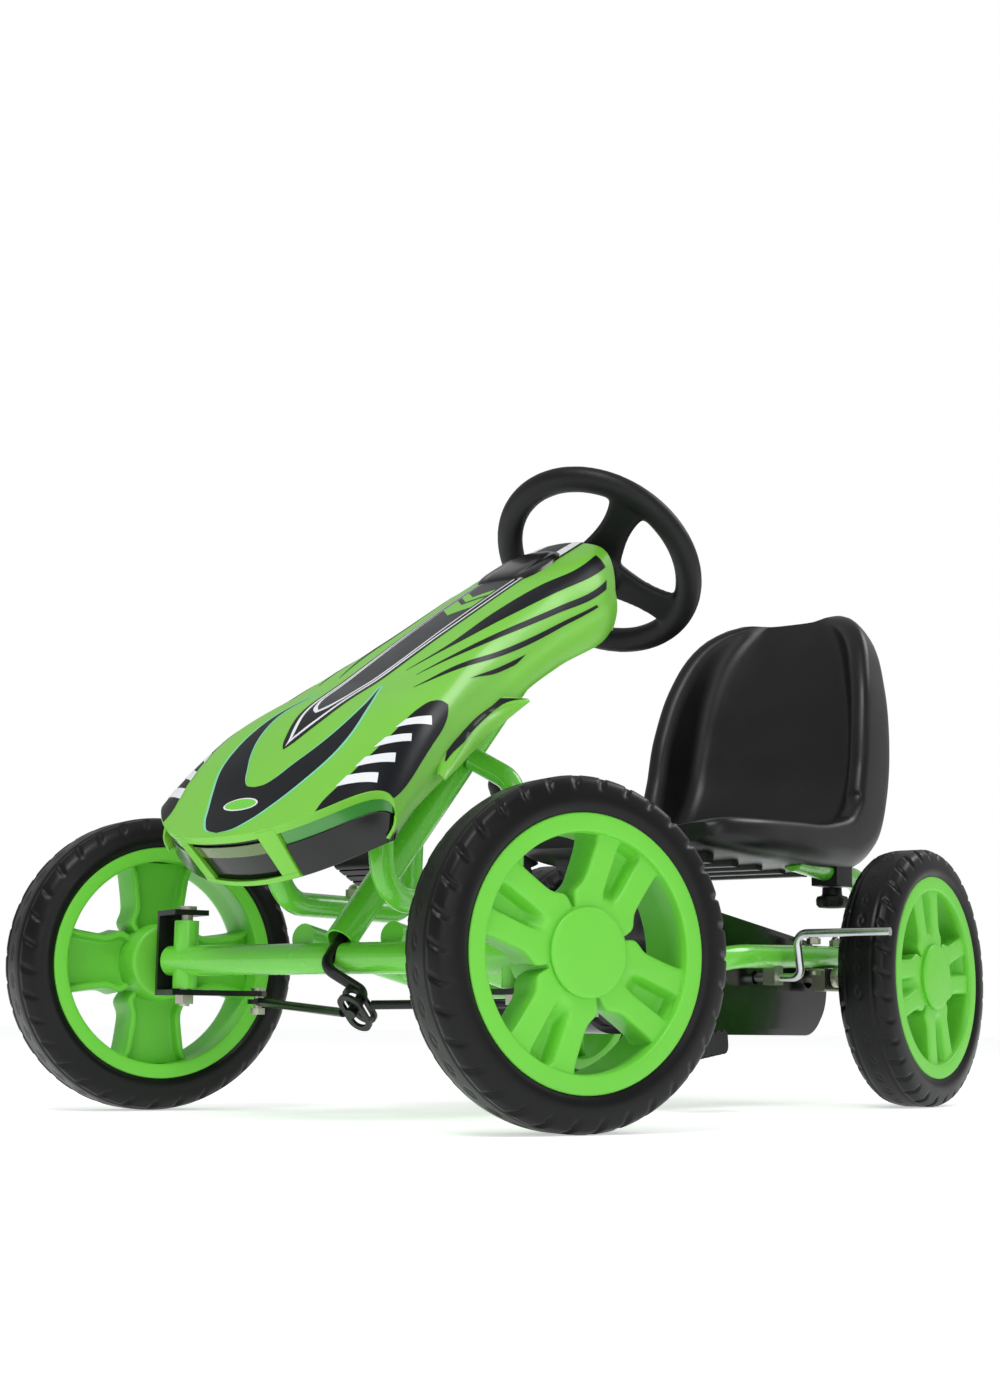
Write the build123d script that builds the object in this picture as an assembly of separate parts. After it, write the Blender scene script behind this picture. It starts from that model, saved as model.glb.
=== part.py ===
from build123d import *
import math
import os

# Pedal go kart. Millimetres. X points forward, Y to the driver's left, Z up.
# The origin is on the ground, midway between the two axles, on the centre plane.
# At rest the front wheels and the steering wheel are turned to the driver's right.

# Overall sizes.
wheelbase = 709.0
kingpin_track = 375.6            # distance between the two kingpin axes
wheel_radius = 140.0
axle_z = 140.0                   # the axles' height in the drawing; all heights follow from it
wheel_width = 60.0
rest_steer_angle = 23.2          # degrees, turned to the right at rest
steering_ratio = 0.54            # road wheel angle divided by steering wheel angle

# Wheels.
rim_face_radius = 109.8
rim_barrel_radius = 100.0
rim_window_radius = 95.0
rim_flange = 5.0
hub_barrel_radius = 37.0
hub_inboard_reach = 36.0         # from the wheel's middle plane to the hub's inner end
hub_wall = 4.0
hub_core_radius = 11.0
hub_cap_radius = 35.5
hub_cap_rise = 3.0
spoke_pairs = 4
spoke_half_root = 25.0           # half width of a double spoke at the hub
spoke_half_tip = 35.0            # half width of a double spoke at the rim
spoke_depth = 38.0
spoke_setback = 4.0
tread_shoulder = 9.0
spoke_rest_front_left = 63.0
spoke_rest_rear_left = 10.0

# Shafts and fits.
axle_radius = 6.0
running_gap = 0.05
free_gap = 0.6
kingpin_radius = 5.0
steering_rod_radius = 5.0
brake_rod_radius = 4.5
crank_bar_radius = 7.0
pedal_spindle_radius = 5.0

# Front frame.
beam_radius = 14.0
beam_overhang = 19.0             # past each kingpin axis
tube_wall = 2.0
sleeve_radius = 11.5
sleeve_half_height = 33.0
front_wheel_offset = 82.0        # kingpin axis to the wheel's middle plane
rear_wheel_plane = 230.0         # centre plane to the rear wheel's middle plane
rail_radius = 12.5
rail_front_y = 51.0
rail_rear_y = 125.0
rail_front_z = 160.0
rail_low_z = 122.0
rail_rear_z = 163.0
loop_radius = 11.0
loop_y = 60.0
loop_z = 190.0

# Rear axle support.
bearing_half_length = 17.0
bearing_half_width = 9.0
bearing_foot = 13.0              # below the axle's centre
bearing_top_z = rail_rear_z - rail_radius - 0.3
strap = 2.0
bearing_bolt_spacing = 58.0

# Steering column and wheel.
column_tilt = 45.3               # degrees of the column above the ground
column_radius = 14.0
steering_wheel_x = wheelbase / 2 - 422.5
steering_wheel_z = 583.0
steering_ring_radius = 105.0
steering_grip_radius = 14.0
steering_hub_radius = 32.0
steering_hub_depth = 76.0
steering_spoke_width = 46.0
column_top = 84.0                # down the column from the steering wheel's centre
column_foot = 600.0
crank_arm_foot = 634.0
crank_arm = 43.0
crank_pin_length = 27.0
pin_slot_gap = 1.6                # free room beside the crank pin in each tie rod plate
pin_slot_run = 9.0               # free room along the slot
left_plate_depth = 12.0          # below the crank arm, clear of its bend
right_plate_depth = 21.5
plate_rim = 12.0
steering_arm = 75.0
steering_arm_z = 110.5           # middle of the knuckle's lower plate
tie_rod_radius = 4.0
tie_plate = 3.0

# Knuckles.
knuckle_plate = 5.0
knuckle_web_y = 26.0
knuckle_half_width = 17.0
knuckle_top_z = 184.5

# Drive.
crank_x = 60.0
crank_z = 152.0
crank_length = 115.0
crank_rest_angle = 48.0          # right pedal, degrees above straight ahead
crank_arm_y = 111.5
pedal_y = 142.0
pedal_width = 44.0
pedal_half_length = 36.0
pedal_thickness = 24.0
chain_y = 84.5
chain_pitch = 12.7
chainring_teeth = 32
sprocket_teeth = 16
sprocket_thickness = 3.0
case_half_width = 18.5
case_wall = 2.5
case_front_radius = 76.0
case_rear_radius = 54.0
case_rear_z = 129.0
bracket_radius = 17.0

# Brake.
brake_pivot_z = 137.0
brake_bar_gap = 7.5              # ahead of the rear tyres, level with their front
brake_bar_x = wheel_radius + brake_bar_gap - wheelbase / 2
brake_pivot_x = brake_bar_x - 19.0
brake_bar_z = 183.0
brake_knee_y = 163.0
brake_bar_end_y = 271.0
brake_grip_radius = 14.0

# Seat.
seat_half_width = 152.0
seat_inner_half_width = 120.0
seat_front_x = 262.5 - wheelbase / 2
seat_tube_front_x = 77.5 - wheelbase / 2
seat_tube_front_z = 268.0
seat_tube_rear_x = -107.5 - wheelbase / 2
seat_tube_rear_z = 255.0
seat_clamp_x = -20.5 - wheelbase / 2
seat_clamp_length = 40.0
knob_radius = 18.5

# Hood.
hood_wall = 3.0
hood_nose_x = wheelbase / 2 + 164.5
hood_length = 509.0
scoop_x = hood_nose_x - 436.0
scoop_length = 78.0
scoop_width = 66.0
scoop_rise = 8.0
wing_foot_y = 78.0
wing_tip_y = 100.0

# Derived places.
front_x = wheelbase / 2
rear_x = -wheelbase / 2
lift = wheel_radius - axle_z      # finished pieces rise until the tyres stand on the ground
kingpin_y = kingpin_track / 2
steer_sign = -1.0                # a turn to the right is negative about +Z
wheel_turn = steer_sign * rest_steer_angle / steering_ratio
tilt = math.radians(column_tilt)
column_up = Vector(-math.cos(tilt), 0, math.sin(tilt))
column_plane = Plane(
    origin=(steering_wheel_x, 0, steering_wheel_z), x_dir=(0, -1, 0), z_dir=column_up
)
sides = {"left": 1, "right": -1}


def column_point(down, across=0.0, up=0.0):
    """A point given down the column, across to the right and up in the wheel's plane."""
    return column_plane.from_local_coords(Vector(across, up, -down))


def rod(start, end, radius):
    """A round bar between two points."""
    path = Line(start, end)
    return sweep(Plane(origin=path @ 0, z_dir=path % 0) * Circle(radius), path=path)


def bent_rod(points, radii, radius, bore=0.0):
    """A round bar or tube along straight runs joined by arcs."""
    path = FilletPolyline(*points, radius=radii)
    start = Plane(origin=path @ 0, z_dir=path % 0)
    bar = sweep(start * Circle(radius), path=path)
    if bore > 0:
        bar -= sweep(start * Circle(bore), path=path)
    return bar


def cylinder_y(x, y_low, y_high, z, radius):
    """A cylinder along Y between two heights of y."""
    return Pos(x, (y_low + y_high) / 2, z) * Rot(90, 0, 0) * Cylinder(radius, y_high - y_low)


def cylinder_z(x, y, z_low, z_high, radius):
    """A cylinder along Z."""
    return Pos(x, y, (z_low + z_high) / 2) * Cylinder(radius, z_high - z_low)


def block(x_low, x_high, y_low, y_high, z_low, z_high):
    """A box given by its six faces."""
    size = (x_high - x_low, y_high - y_low, z_high - z_low)
    middle = ((x_low + x_high) / 2, (y_low + y_high) / 2, (z_low + z_high) / 2)
    return Pos(*middle) * Box(*size)


def prism(points, y_low, y_high):
    """A straight-sided block: an outline of (x, z) points carried along Y."""
    outline = Plane.XZ * make_face(Polyline(*points, close=True))
    return Pos(0, y_high, 0) * extrude(outline, y_high - y_low)


def mirrored(shape, side):
    """The shape itself on the left, its mirror image on the right."""
    return shape if side > 0 else mirror(shape, about=Plane.XZ)


def write(name, shape):
    """One file for one named piece."""
    placed = Pos(0, 0, lift) * shape
    placed.label = name
    export_step(placed, f"parts/{name}.step")


def rounded_nut(x, y, z_low, radius=8.0, height=11.0):
    """A hexagon nut with a domed top, standing on z_low."""
    base = Pos(x, y, z_low) * extrude(RegularPolygon(radius, 6), height * 0.6)
    dome = Pos(x, y, z_low + height * 0.55) * Sphere(radius * 0.72)
    cap = dome & cylinder_z(x, y, z_low + height * 0.5, z_low + height * 2, radius)
    return base + cap


# Wheels, modelled about Y with the outer face on +Y.
def spoke_outline(root, tip, half_root, half_tip):
    """One double spoke seen from the side, tapering towards the hub."""
    return Polyline(
        (-half_root, root), (half_root, root), (half_tip, tip), (-half_tip, tip), close=True
    )


def make_rim():
    half = wheel_width / 2
    inner = half - rim_flange
    profile = Polyline(
        (rim_window_radius, half), (rim_face_radius, half), (rim_face_radius, inner),
        (rim_barrel_radius, inner), (rim_barrel_radius, -inner), (rim_face_radius, -inner),
        (rim_face_radius, -half), (rim_window_radius + 1, -half), close=True
    )
    rim = revolve(make_face(profile), axis=Axis.Y)
    face = half - spoke_setback
    plane = Plane(origin=(0, face, 0), x_dir=(-1, 0, 0), z_dir=(0, 1, 0))
    root = hub_barrel_radius - 2
    tip = rim_window_radius + 2
    wedge = plane * make_face(spoke_outline(root, tip, spoke_half_root, spoke_half_tip))
    spoke = extrude(wedge, -spoke_depth)
    spoke &= cylinder_y(0, -half, half, 0, rim_window_radius + 1.5)
    for index in range(spoke_pairs):
        rim += Rot(0, index * 360 / spoke_pairs, 0) * spoke
    cup = cylinder_y(0, -hub_inboard_reach + hub_wall, face + 1, 0, hub_barrel_radius - hub_wall)
    barrel = cylinder_y(0, -hub_inboard_reach, face, 0, hub_barrel_radius)
    rim = rim - barrel + (barrel - cup)
    rim += cylinder_y(0, -hub_inboard_reach, face - 16, 0, hub_core_radius)
    rim -= cylinder_y(0, -half * 3, half * 3, 0, axle_radius + running_gap)
    return rim


def make_hub_cap():
    face = wheel_width / 2 - spoke_setback
    bowl_radius = (hub_cap_radius ** 2 + hub_cap_rise ** 2) / (2 * hub_cap_rise)
    disc = cylinder_y(0, face, face + 4, 0, hub_cap_radius)
    dome = Pos(0, face + 4 + hub_cap_rise - bowl_radius, 0) * Sphere(bowl_radius)
    cap = disc + (dome & cylinder_y(0, face + 4, face + 12, 0, hub_cap_radius))
    skirt = cylinder_y(0, face - 8, face, 0, hub_barrel_radius - hub_wall - 0.2)
    skirt -= cylinder_y(0, face - 9, face, 0, hub_barrel_radius - hub_wall - 3)
    return cap + skirt


def make_tyre():
    half = wheel_width / 2
    return revolve(make_face(tyre_profile(half, half - rim_flange)), axis=Axis.Y)


def tyre_profile(half, inner):
    """Half section of the tyre with rounded shoulders, radius along X and width along Y."""
    edge = half - tread_shoulder
    shoulder_x = wheel_radius - tread_shoulder
    lower = Polyline(
        (shoulder_x, -half), (rim_face_radius, -half), (rim_face_radius, -inner),
        (rim_barrel_radius, -inner), (rim_barrel_radius, inner), (rim_face_radius, inner),
        (rim_face_radius, half), (shoulder_x, half)
    )
    upper_arc = CenterArc((shoulder_x, edge), tread_shoulder, 0, 90)
    lower_arc = CenterArc((shoulder_x, -edge), tread_shoulder, 270, 90)
    tread = Line((wheel_radius, -edge), (wheel_radius, edge))
    return lower + upper_arc + tread + lower_arc


def place_front(shape, side, spoke_angle=0.0):
    """Put a front wheel piece on its turned stub axle."""
    part = mirrored(Rot(0, spoke_angle, 0) * shape, side)
    part = Pos(0, side * front_wheel_offset, 0) * part
    part = Rot(0, 0, steer_sign * rest_steer_angle) * part
    return Pos(front_x, side * kingpin_y, axle_z) * part


def place_rear(shape, side, spoke_angle=0.0):
    """Put a rear wheel piece on the rear axle."""
    part = mirrored(Rot(0, spoke_angle, 0) * shape, side)
    return Pos(rear_x, side * rear_wheel_plane, axle_z) * part


def make_wheels():
    rim = make_rim()
    cap = make_hub_cap()
    tyre = make_tyre()
    for name, side in sides.items():
        front_angle = spoke_rest_front_left if side > 0 else 0.0
        rear_angle = spoke_rest_rear_left if side > 0 else 0.0
        write(f"front_rim_{name}", place_front(rim, side, front_angle))
        write(f"front_hub_cap_{name}", place_front(cap, side))
        write(f"front_tyre_{name}", place_front(tyre, side))
        write(f"rear_rim_{name}", place_rear(rim, side, rear_angle))
        write(f"rear_hub_cap_{name}", place_rear(cap, side))
        write(f"rear_tyre_{name}", place_rear(tyre, side))


# Front frame.
def column_bore(radius):
    """The round space of the steering rod through the frame."""
    return rod(column_point(column_top - 20), column_point(crank_arm_foot + 30), radius)


def make_front_beam():
    reach = kingpin_y + beam_overhang
    beam = cylinder_y(front_x, -reach, reach, axle_z, beam_radius)
    beam -= cylinder_y(front_x, -reach + 3, reach - 3, axle_z, beam_radius - tube_wall)
    for side in sides.values():
        y = side * kingpin_y
        beam += cylinder_z(front_x, y, axle_z - 26, axle_z + sleeve_half_height + 4, sleeve_radius)
        beam -= cylinder_z(front_x, y, axle_z - 60, axle_z + 60, kingpin_radius + running_gap)
    return beam - column_bore(steering_rod_radius + free_gap * 2)


def rail_points(side):
    """Corner points of one side rail, from its front end round to the seat tube's end."""
    return [
        (front_x - 8, side * rail_front_y, rail_front_z),
        (crank_x + 70, side * rail_front_y, rail_low_z),
        (crank_x - 65, side * rail_front_y, rail_low_z),
        (crank_x - 195, side * rail_rear_y, rail_rear_z - 6),
        (rear_x + 20, side * rail_rear_y, rail_rear_z),
        (seat_tube_rear_x, side * rail_rear_y, rail_rear_z + 2),
        (seat_tube_rear_x - 2, side * rail_rear_y, seat_tube_rear_z),
        (seat_tube_front_x, side * rail_rear_y, seat_tube_front_z),
    ]


def rail_bends():
    hairpin = (seat_tube_rear_z - rail_rear_z) * 0.42
    return [120, 110, 110, 300, hairpin, hairpin]


def make_side_rail(side):
    points = rail_points(side)
    rail = bent_rod(points, rail_bends(), rail_radius, rail_radius - tube_wall)
    front = Vector(*points[0])
    inward = (Vector(*points[1]) - front).normalized()
    rail += rod(front, front + inward * 3, rail_radius)
    end = Vector(*points[-1])
    back = (Vector(*points[-2]) - end).normalized()
    rail += rod(end, end + back * 3, rail_radius)
    reach = kingpin_y + beam_overhang
    return rail - cylinder_y(front_x, -reach, reach, axle_z, beam_radius + 0.05)


def make_front_loop(side):
    y = side * loop_y
    points = [
        (front_x + 22, y, loop_z + 72), (front_x + 18, y, loop_z), (front_x - 176, y, loop_z),
        (front_x - 180, y, loop_z + 122), (front_x - 168, side * (column_radius + 5), loop_z + 146),
    ]
    loop = bent_rod(points, [38, 34, 24], loop_radius, loop_radius - tube_wall)
    return loop - rod(column_point(column_top), column_point(column_foot), column_radius + 0.05)


def make_column_tube():
    top = column_point(column_top)
    foot = column_point(column_foot + 2)
    tube = rod(top, foot, column_radius) - rod(top, foot, column_radius - tube_wall)
    reach = kingpin_y + beam_overhang
    tube -= cylinder_y(front_x, -reach, reach, axle_z, beam_radius + 0.05)
    return tube


def make_column_bushes():
    bushes = []
    for start in (column_top + 2, column_foot - 40):
        ends = (column_point(start), column_point(start + 22))
        bush = rod(*ends, column_radius - tube_wall - 0.02)
        bushes.append(bush - rod(*ends, steering_rod_radius + running_gap))
    return Compound(bushes)


def make_hood_support():
    """Cross tube near the top of the column that carries the hood's rear end."""
    place = column_point(column_top + 68)
    tube = cylinder_y(place.X, -62, 62, place.Z, loop_radius)
    tube -= cylinder_y(place.X, -59, 59, place.Z, loop_radius - tube_wall)
    return tube - rod(column_point(column_top), column_point(column_foot), column_radius + 0.02)


def make_cross_tubes():
    """Cross tubes that tie the two seat tubes and the two rails together."""
    rear = cylinder_y(seat_tube_rear_x + 30, -rail_rear_y + rail_radius, rail_rear_y - rail_radius,
                      rail_rear_z + 2, loop_radius)
    front = cylinder_y(crank_x + 150, -rail_front_y + rail_radius, rail_front_y - rail_radius,
                       rail_low_z + 14, loop_radius)
    cutter = [make_rail_space(side, 0.0) for side in sides.values()]
    pieces = []
    for tube in (rear, front):
        pieces += list((tube - cutter).solids())
    return Compound(pieces)


def make_rail_space(side, gap):
    """The room one side rail takes, with a gap all round."""
    return bent_rod(rail_points(side), rail_bends(), rail_radius + gap)


def make_bottom_bracket():
    """Housing of the pedal crank, standing on the two rails."""
    reach = rail_front_y + 9
    shell = cylinder_y(crank_x, -reach, reach, crank_z, bracket_radius)
    for side in sides.values():
        y = side * rail_front_y
        shell += block(crank_x - 16, crank_x + 16, y - 4, y + 4, rail_low_z + 6, crank_z)
    shell -= cylinder_y(crank_x, -reach - 1, reach + 1, crank_z, bracket_radius - tube_wall)
    for side in sides.values():
        shell -= make_rail_space(side, 0.02)
    return shell


def make_crank_bushes():
    bushes = []
    for side in sides.values():
        outer = side * (rail_front_y + 9)
        low, high = sorted((outer, outer - side * 16))
        bush = cylinder_y(crank_x, low, high, crank_z, bracket_radius - tube_wall - 0.02)
        bushes.append(bush - cylinder_y(crank_x, low, high, crank_z, crank_bar_radius + running_gap))
    return Compound(bushes)


# Rear axle support.

def make_axle_bearing(side):
    y = side * rail_rear_y
    shape = block(rear_x - bearing_half_length, rear_x + bearing_half_length,
                  y - bearing_half_width, y + bearing_half_width, axle_z - bearing_foot,
                  bearing_top_z)
    return shape - cylinder_y(rear_x, y - 20, y + 20, axle_z, axle_radius + running_gap)


def make_axle_straps():
    """Bent zinc straps that hold each bearing block up against its rail."""
    straps = []
    reach = bearing_bolt_spacing / 2 + 9
    inner = bearing_half_length + 0.1
    for side in sides.values():
        y = side * rail_rear_y
        shape = block(rear_x - reach, rear_x + reach, y - 8, y + 8, bearing_top_z - strap - 1,
                      bearing_top_z - 1)
        shape += block(rear_x - inner - strap, rear_x + inner + strap, y - 8, y + 8,
                       axle_z - bearing_foot - 0.1 - strap, bearing_top_z - 1)
        shape -= block(rear_x - inner, rear_x + inner, y - 9, y + 9, axle_z - bearing_foot - 0.1,
                       bearing_top_z)
        straps.append(shape)
    return Compound(straps)


def make_frame_bolts():
    """Bolts with domed nuts: bearing straps to rails, and front loops to rails."""
    bolts = []
    for side in sides.values():
        y = side * rail_rear_y
        for x in (rear_x - bearing_bolt_spacing / 2, rear_x + bearing_bolt_spacing / 2):
            nut = rounded_nut(x, y, rail_rear_z + rail_radius + 1.2)
            head = cylinder_z(x, y, bearing_top_z - strap - 6, bearing_top_z - strap - 1.2, 7)
            bolts += [nut, head]
        bolts.append(rounded_nut(front_x - 90, side * loop_y, loop_z + loop_radius + 0.2))
    return Compound(bolts)


# Chain drive.
def pitch_radius(teeth):
    return chain_pitch / (2 * math.sin(math.pi / teeth))


def make_toothed_wheel(teeth, x, z, bore, windows=0):
    """Sprocket with one rounded gap for each chain roller and round windows in its disc."""
    radius = pitch_radius(teeth)
    roller = 4.2
    disc = cylinder_y(x, chain_y - sprocket_thickness / 2, chain_y + sprocket_thickness / 2, z,
                      radius + 3.6)
    gaps = []
    for index in range(teeth):
        angle = 2 * math.pi * index / teeth
        gap_x = x + radius * math.cos(angle)
        gap_z = z + radius * math.sin(angle)
        gaps.append(cylinder_y(gap_x, chain_y - 5, chain_y + 5, gap_z, roller))
    disc -= gaps
    disc -= cylinder_y(x, chain_y - 5, chain_y + 5, z, bore)
    window = cylinder_y(radius * 0.58, chain_y - 5, chain_y + 5, 0, radius * 0.22)
    for step in range(windows):
        disc -= Pos(x, 0, z) * Rot(0, step * 360 / windows, 0) * window
    return disc


def hull_face(first, second):
    """The belt-shaped outline round two circles, each given as (x, z, radius)."""
    circles = Sketch() + [Pos(x, -z) * Circle(radius) for x, z, radius in (first, second)]
    return Plane(origin=(0, 0, 0), x_dir=(1, 0, 0), z_dir=(0, 1, 0)) * make_hull(circles.edges())


def belt(first, second, y_low, y_high):
    return Pos(0, y_low, 0) * extrude(hull_face(first, second), y_high - y_low)


def make_chain():
    """Chain drawn as its two rows of side plates joined by pins between the teeth."""
    front = (crank_x, crank_z, pitch_radius(chainring_teeth))
    rear = (rear_x, axle_z, pitch_radius(sprocket_teeth))
    grow = 4.4
    plates = []
    for y in (chain_y - 4.2, chain_y + 2.6):
        outer = belt((front[0], front[1], front[2] + grow), (rear[0], rear[1], rear[2] + grow),
                     y, y + 1.6)
        inner = belt((front[0], front[1], front[2] - grow), (rear[0], rear[1], rear[2] - grow),
                     y - 1, y + 3)
        plates.append(outer - inner)
    chain = plates[0] + plates[1]
    path = hull_face(front, rear).faces()[0].outer_wire()
    count = 2 * round(path.length / chain_pitch / 2)
    pins = []
    for index in range(count):
        spot = path @ (index / count)
        pins.append(cylinder_y(spot.X, chain_y - 4, chain_y + 4, spot.Z, 1.6))
    return chain + [pin for pin in pins if clear_of_teeth(pin)]


def clear_of_teeth(pin):
    """True for the pins on the two straight runs, away from the sprockets."""
    middle = pin.center()
    front_gap = math.hypot(middle.X - crank_x, middle.Z - crank_z) - pitch_radius(chainring_teeth)
    rear_gap = math.hypot(middle.X - rear_x, middle.Z - axle_z) - pitch_radius(sprocket_teeth)
    return front_gap > 7 and rear_gap > 7


def make_chain_case(outer_half, rail_room):
    """One half shell of the chain case; the outer half has a raised panel."""
    front = (crank_x, crank_z, case_front_radius)
    rear = (rear_x, case_rear_z, case_rear_radius)
    low, high = chain_y - case_half_width, chain_y + case_half_width

    def shrunk(amount, y_low, y_high):
        return belt((front[0], front[1], front[2] - amount), (rear[0], rear[1], rear[2] - amount),
                    y_low, y_high)
    if outer_half:
        shape = shrunk(0, chain_y + 0.05, high - 5) + shrunk(7, high - 5, high)
    else:
        shape = shrunk(0, low, chain_y - 0.05)
    shape -= shrunk(case_wall, low + case_wall, high - 5 - case_wall)
    shape -= shrunk(7 + case_wall, chain_y, high - case_wall)
    shape -= cylinder_y(crank_x, low - 1, high + 1, crank_z, 15)
    shape -= cylinder_y(rear_x, low - 1, high + 1, axle_z, 12)
    shape -= cylinder_y(brake_pivot_x, low - 1, high + 1, brake_pivot_z, brake_rod_radius + 3)
    return (shape - rail_room).solids().sort_by(SortBy.VOLUME)[-1]


def pedal_spot(side):
    """Centre of one pedal's spindle in the crank's resting place."""
    angle = math.radians(crank_rest_angle + (180 if side > 0 else 0))
    return crank_x + crank_length * math.cos(angle), crank_z + crank_length * math.sin(angle)


def make_crankset():
    """One bent bar: axle, two opposite arms and two pedal spindles."""
    left_x, left_z = pedal_spot(1)
    right_x, right_z = pedal_spot(-1)
    spindle_end = pedal_y + pedal_width / 2 - 4
    spindles = []
    for x, z, side in ((left_x, left_z, 1), (right_x, right_z, -1)):
        arm_y = side * crank_arm_y
        spindles.append(((x, side * spindle_end, z), (x, arm_y, z), (crank_x, arm_y, crank_z)))
    bar = rod(spindles[0][2], spindles[1][2], crank_bar_radius)
    for end, corner, hub in spindles:
        bar += rod(corner, hub, crank_bar_radius)
        bar += Pos(*corner) * Sphere(crank_bar_radius) + Pos(*hub) * Sphere(crank_bar_radius)
        bar += rod(corner, end, pedal_spindle_radius)
    return bar


def make_pedal(side):
    """Plastic pedal block with a rounded tread, free on its spindle."""
    x, z = pedal_spot(side)
    low, high = pedal_y - pedal_width / 2, pedal_y + pedal_width / 2
    body = block(-pedal_half_length, pedal_half_length, low, high, -pedal_thickness / 2,
                 pedal_thickness / 2)
    body = fillet(body.edges().filter_by(Axis.Y), 8)
    for index in range(-2, 3):
        body -= block(index * 12 - 1.5, index * 12 + 1.5, low - 1, high + 1,
                      pedal_thickness / 2 - 2, pedal_thickness / 2 + 1)
        body -= block(index * 12 - 1.5, index * 12 + 1.5, low - 1, high + 1,
                      -pedal_thickness / 2 - 1, -pedal_thickness / 2 + 2)
    body -= cylinder_y(0, low - 1, high - 3, 0, pedal_spindle_radius + running_gap)
    body = mirrored(body, side)
    lean = 24 if side < 0 else -6
    return Pos(x, 0, z) * Rot(0, -lean, 0) * body


def make_rear_axle():
    reach = rear_wheel_plane + wheel_width / 2 - spoke_setback - 10
    axle = cylinder_y(rear_x, -reach, reach, axle_z, axle_radius)
    for side in sides.values():
        low, high = sorted((side * (rail_rear_y + 11), side * (rail_rear_y + 17)))
        axle += cylinder_y(rear_x, low, high, axle_z, axle_radius + 5)
    return axle


# Steering.
def make_steering_rod():
    """Rod inside the column, bent into a crank arm and a pin below the front beam."""
    points = [
        column_point(8), column_point(crank_arm_foot), column_point(crank_arm_foot, 0, -crank_arm),
        column_point(crank_arm_foot + crank_pin_length, 0, -crank_arm),
    ]
    return bent_rod(points, [11, 7], steering_rod_radius)


def turn_column(shape):
    """Turn a straight-ahead steering piece to its resting angle about the column."""
    axis = Axis(column_point(0), column_up)
    return shape.rotate(axis, wheel_turn)


def make_steering_wheel():
    ring = Torus(steering_ring_radius, steering_grip_radius)
    hub = Pos(0, 0, -steering_hub_depth / 2) * Cylinder(steering_hub_radius, steering_hub_depth)
    wheel = ring + hub
    spoke_plane = Plane.XY.offset(-14)
    for angle in (0, 180, 270):
        outline = Polyline(
            (steering_hub_radius - 8, -steering_spoke_width / 2 - 4),
            (steering_ring_radius - 4, -steering_spoke_width / 2 + 6),
            (steering_ring_radius - 4, steering_spoke_width / 2 - 6),
            (steering_hub_radius - 8, steering_spoke_width / 2 + 4), close=True
        )
        spoke = extrude(spoke_plane * make_face(outline), 14)
        wheel += Rot(0, 0, angle) * spoke
    socket = Cylinder(steering_rod_radius + 0.02, steering_hub_depth)
    wheel -= Pos(0, 0, -steering_hub_depth / 2 - 8) * socket
    wheel -= Pos(0, 0, 2) * Cylinder(6.0, 12)
    return column_plane * wheel


def make_wheel_screw():
    head = Pos(0, 0, -1) * Cylinder(5.5, 5)
    return column_plane * head


def knuckle_place(shape, side):
    part = mirrored(shape, side)
    part = Rot(0, 0, steer_sign * rest_steer_angle) * part
    return Pos(front_x, side * kingpin_y, 0) * part


def make_knuckle():
    """C-shaped bracket with its steering arm and stub axle, about the kingpin axis."""
    low = steering_arm_z - knuckle_plate / 2
    high = knuckle_top_z + knuckle_plate / 2
    wide = knuckle_half_width
    body = block(-wide, wide, knuckle_web_y, knuckle_web_y + knuckle_plate, low, high)
    body += block(-wide, wide, -12, knuckle_web_y + 1, high - knuckle_plate, high)
    plate = Polyline((wide, -12), (wide, knuckle_web_y + 1), (-wide, knuckle_web_y + 1),
                     (-steering_arm, 9), (-steering_arm - 9, 0), (-steering_arm, -9), (-wide, -12),
                     close=True)
    body += Pos(0, 0, low) * extrude(make_face(plate), knuckle_plate)
    body -= cylinder_z(0, 0, low - 1, high + 1, kingpin_radius + 0.02)
    body -= cylinder_z(-steering_arm, 0, low - 1, high + 1, tie_rod_radius + 0.02)
    stub_end = front_wheel_offset + wheel_width / 2 - spoke_setback - 10
    body += cylinder_y(0, knuckle_web_y, stub_end, axle_z, axle_radius)
    return body + cylinder_y(0, knuckle_web_y + knuckle_plate, front_wheel_offset
                             - hub_inboard_reach - 1, axle_z, axle_radius + 5)


def make_kingpin():
    """Kingpin bolt with its nut, and the bolt of the tie rod joint."""
    low = steering_arm_z - knuckle_plate / 2
    high = knuckle_top_z + knuckle_plate / 2
    pin = cylinder_z(0, 0, low - 10, high + 0.5, kingpin_radius)
    pin += cylinder_z(0, 0, high, high + 3.5, kingpin_radius + 4)
    pin += Pos(0, 0, low - 8) * extrude(RegularPolygon(9, 6), 8)
    joint = cylinder_z(-steering_arm, 0, low - 12, low + knuckle_plate + 1, tie_rod_radius)
    joint += cylinder_z(-steering_arm, 0, low + knuckle_plate, low + knuckle_plate + 3,
                        tie_rod_radius + 3)
    joint += cylinder_z(-steering_arm, 0, low - 17, low - 11, tie_rod_radius + 3)
    return Compound(list(pin.solids()) + list(joint.solids()))


def arm_end(side):
    """Where the steering arm's tie rod bolt stands at rest."""
    turn = math.radians(steer_sign * rest_steer_angle)
    x = front_x - steering_arm * math.cos(turn)
    y = side * kingpin_y - steering_arm * math.sin(turn)
    return x, y


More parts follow.
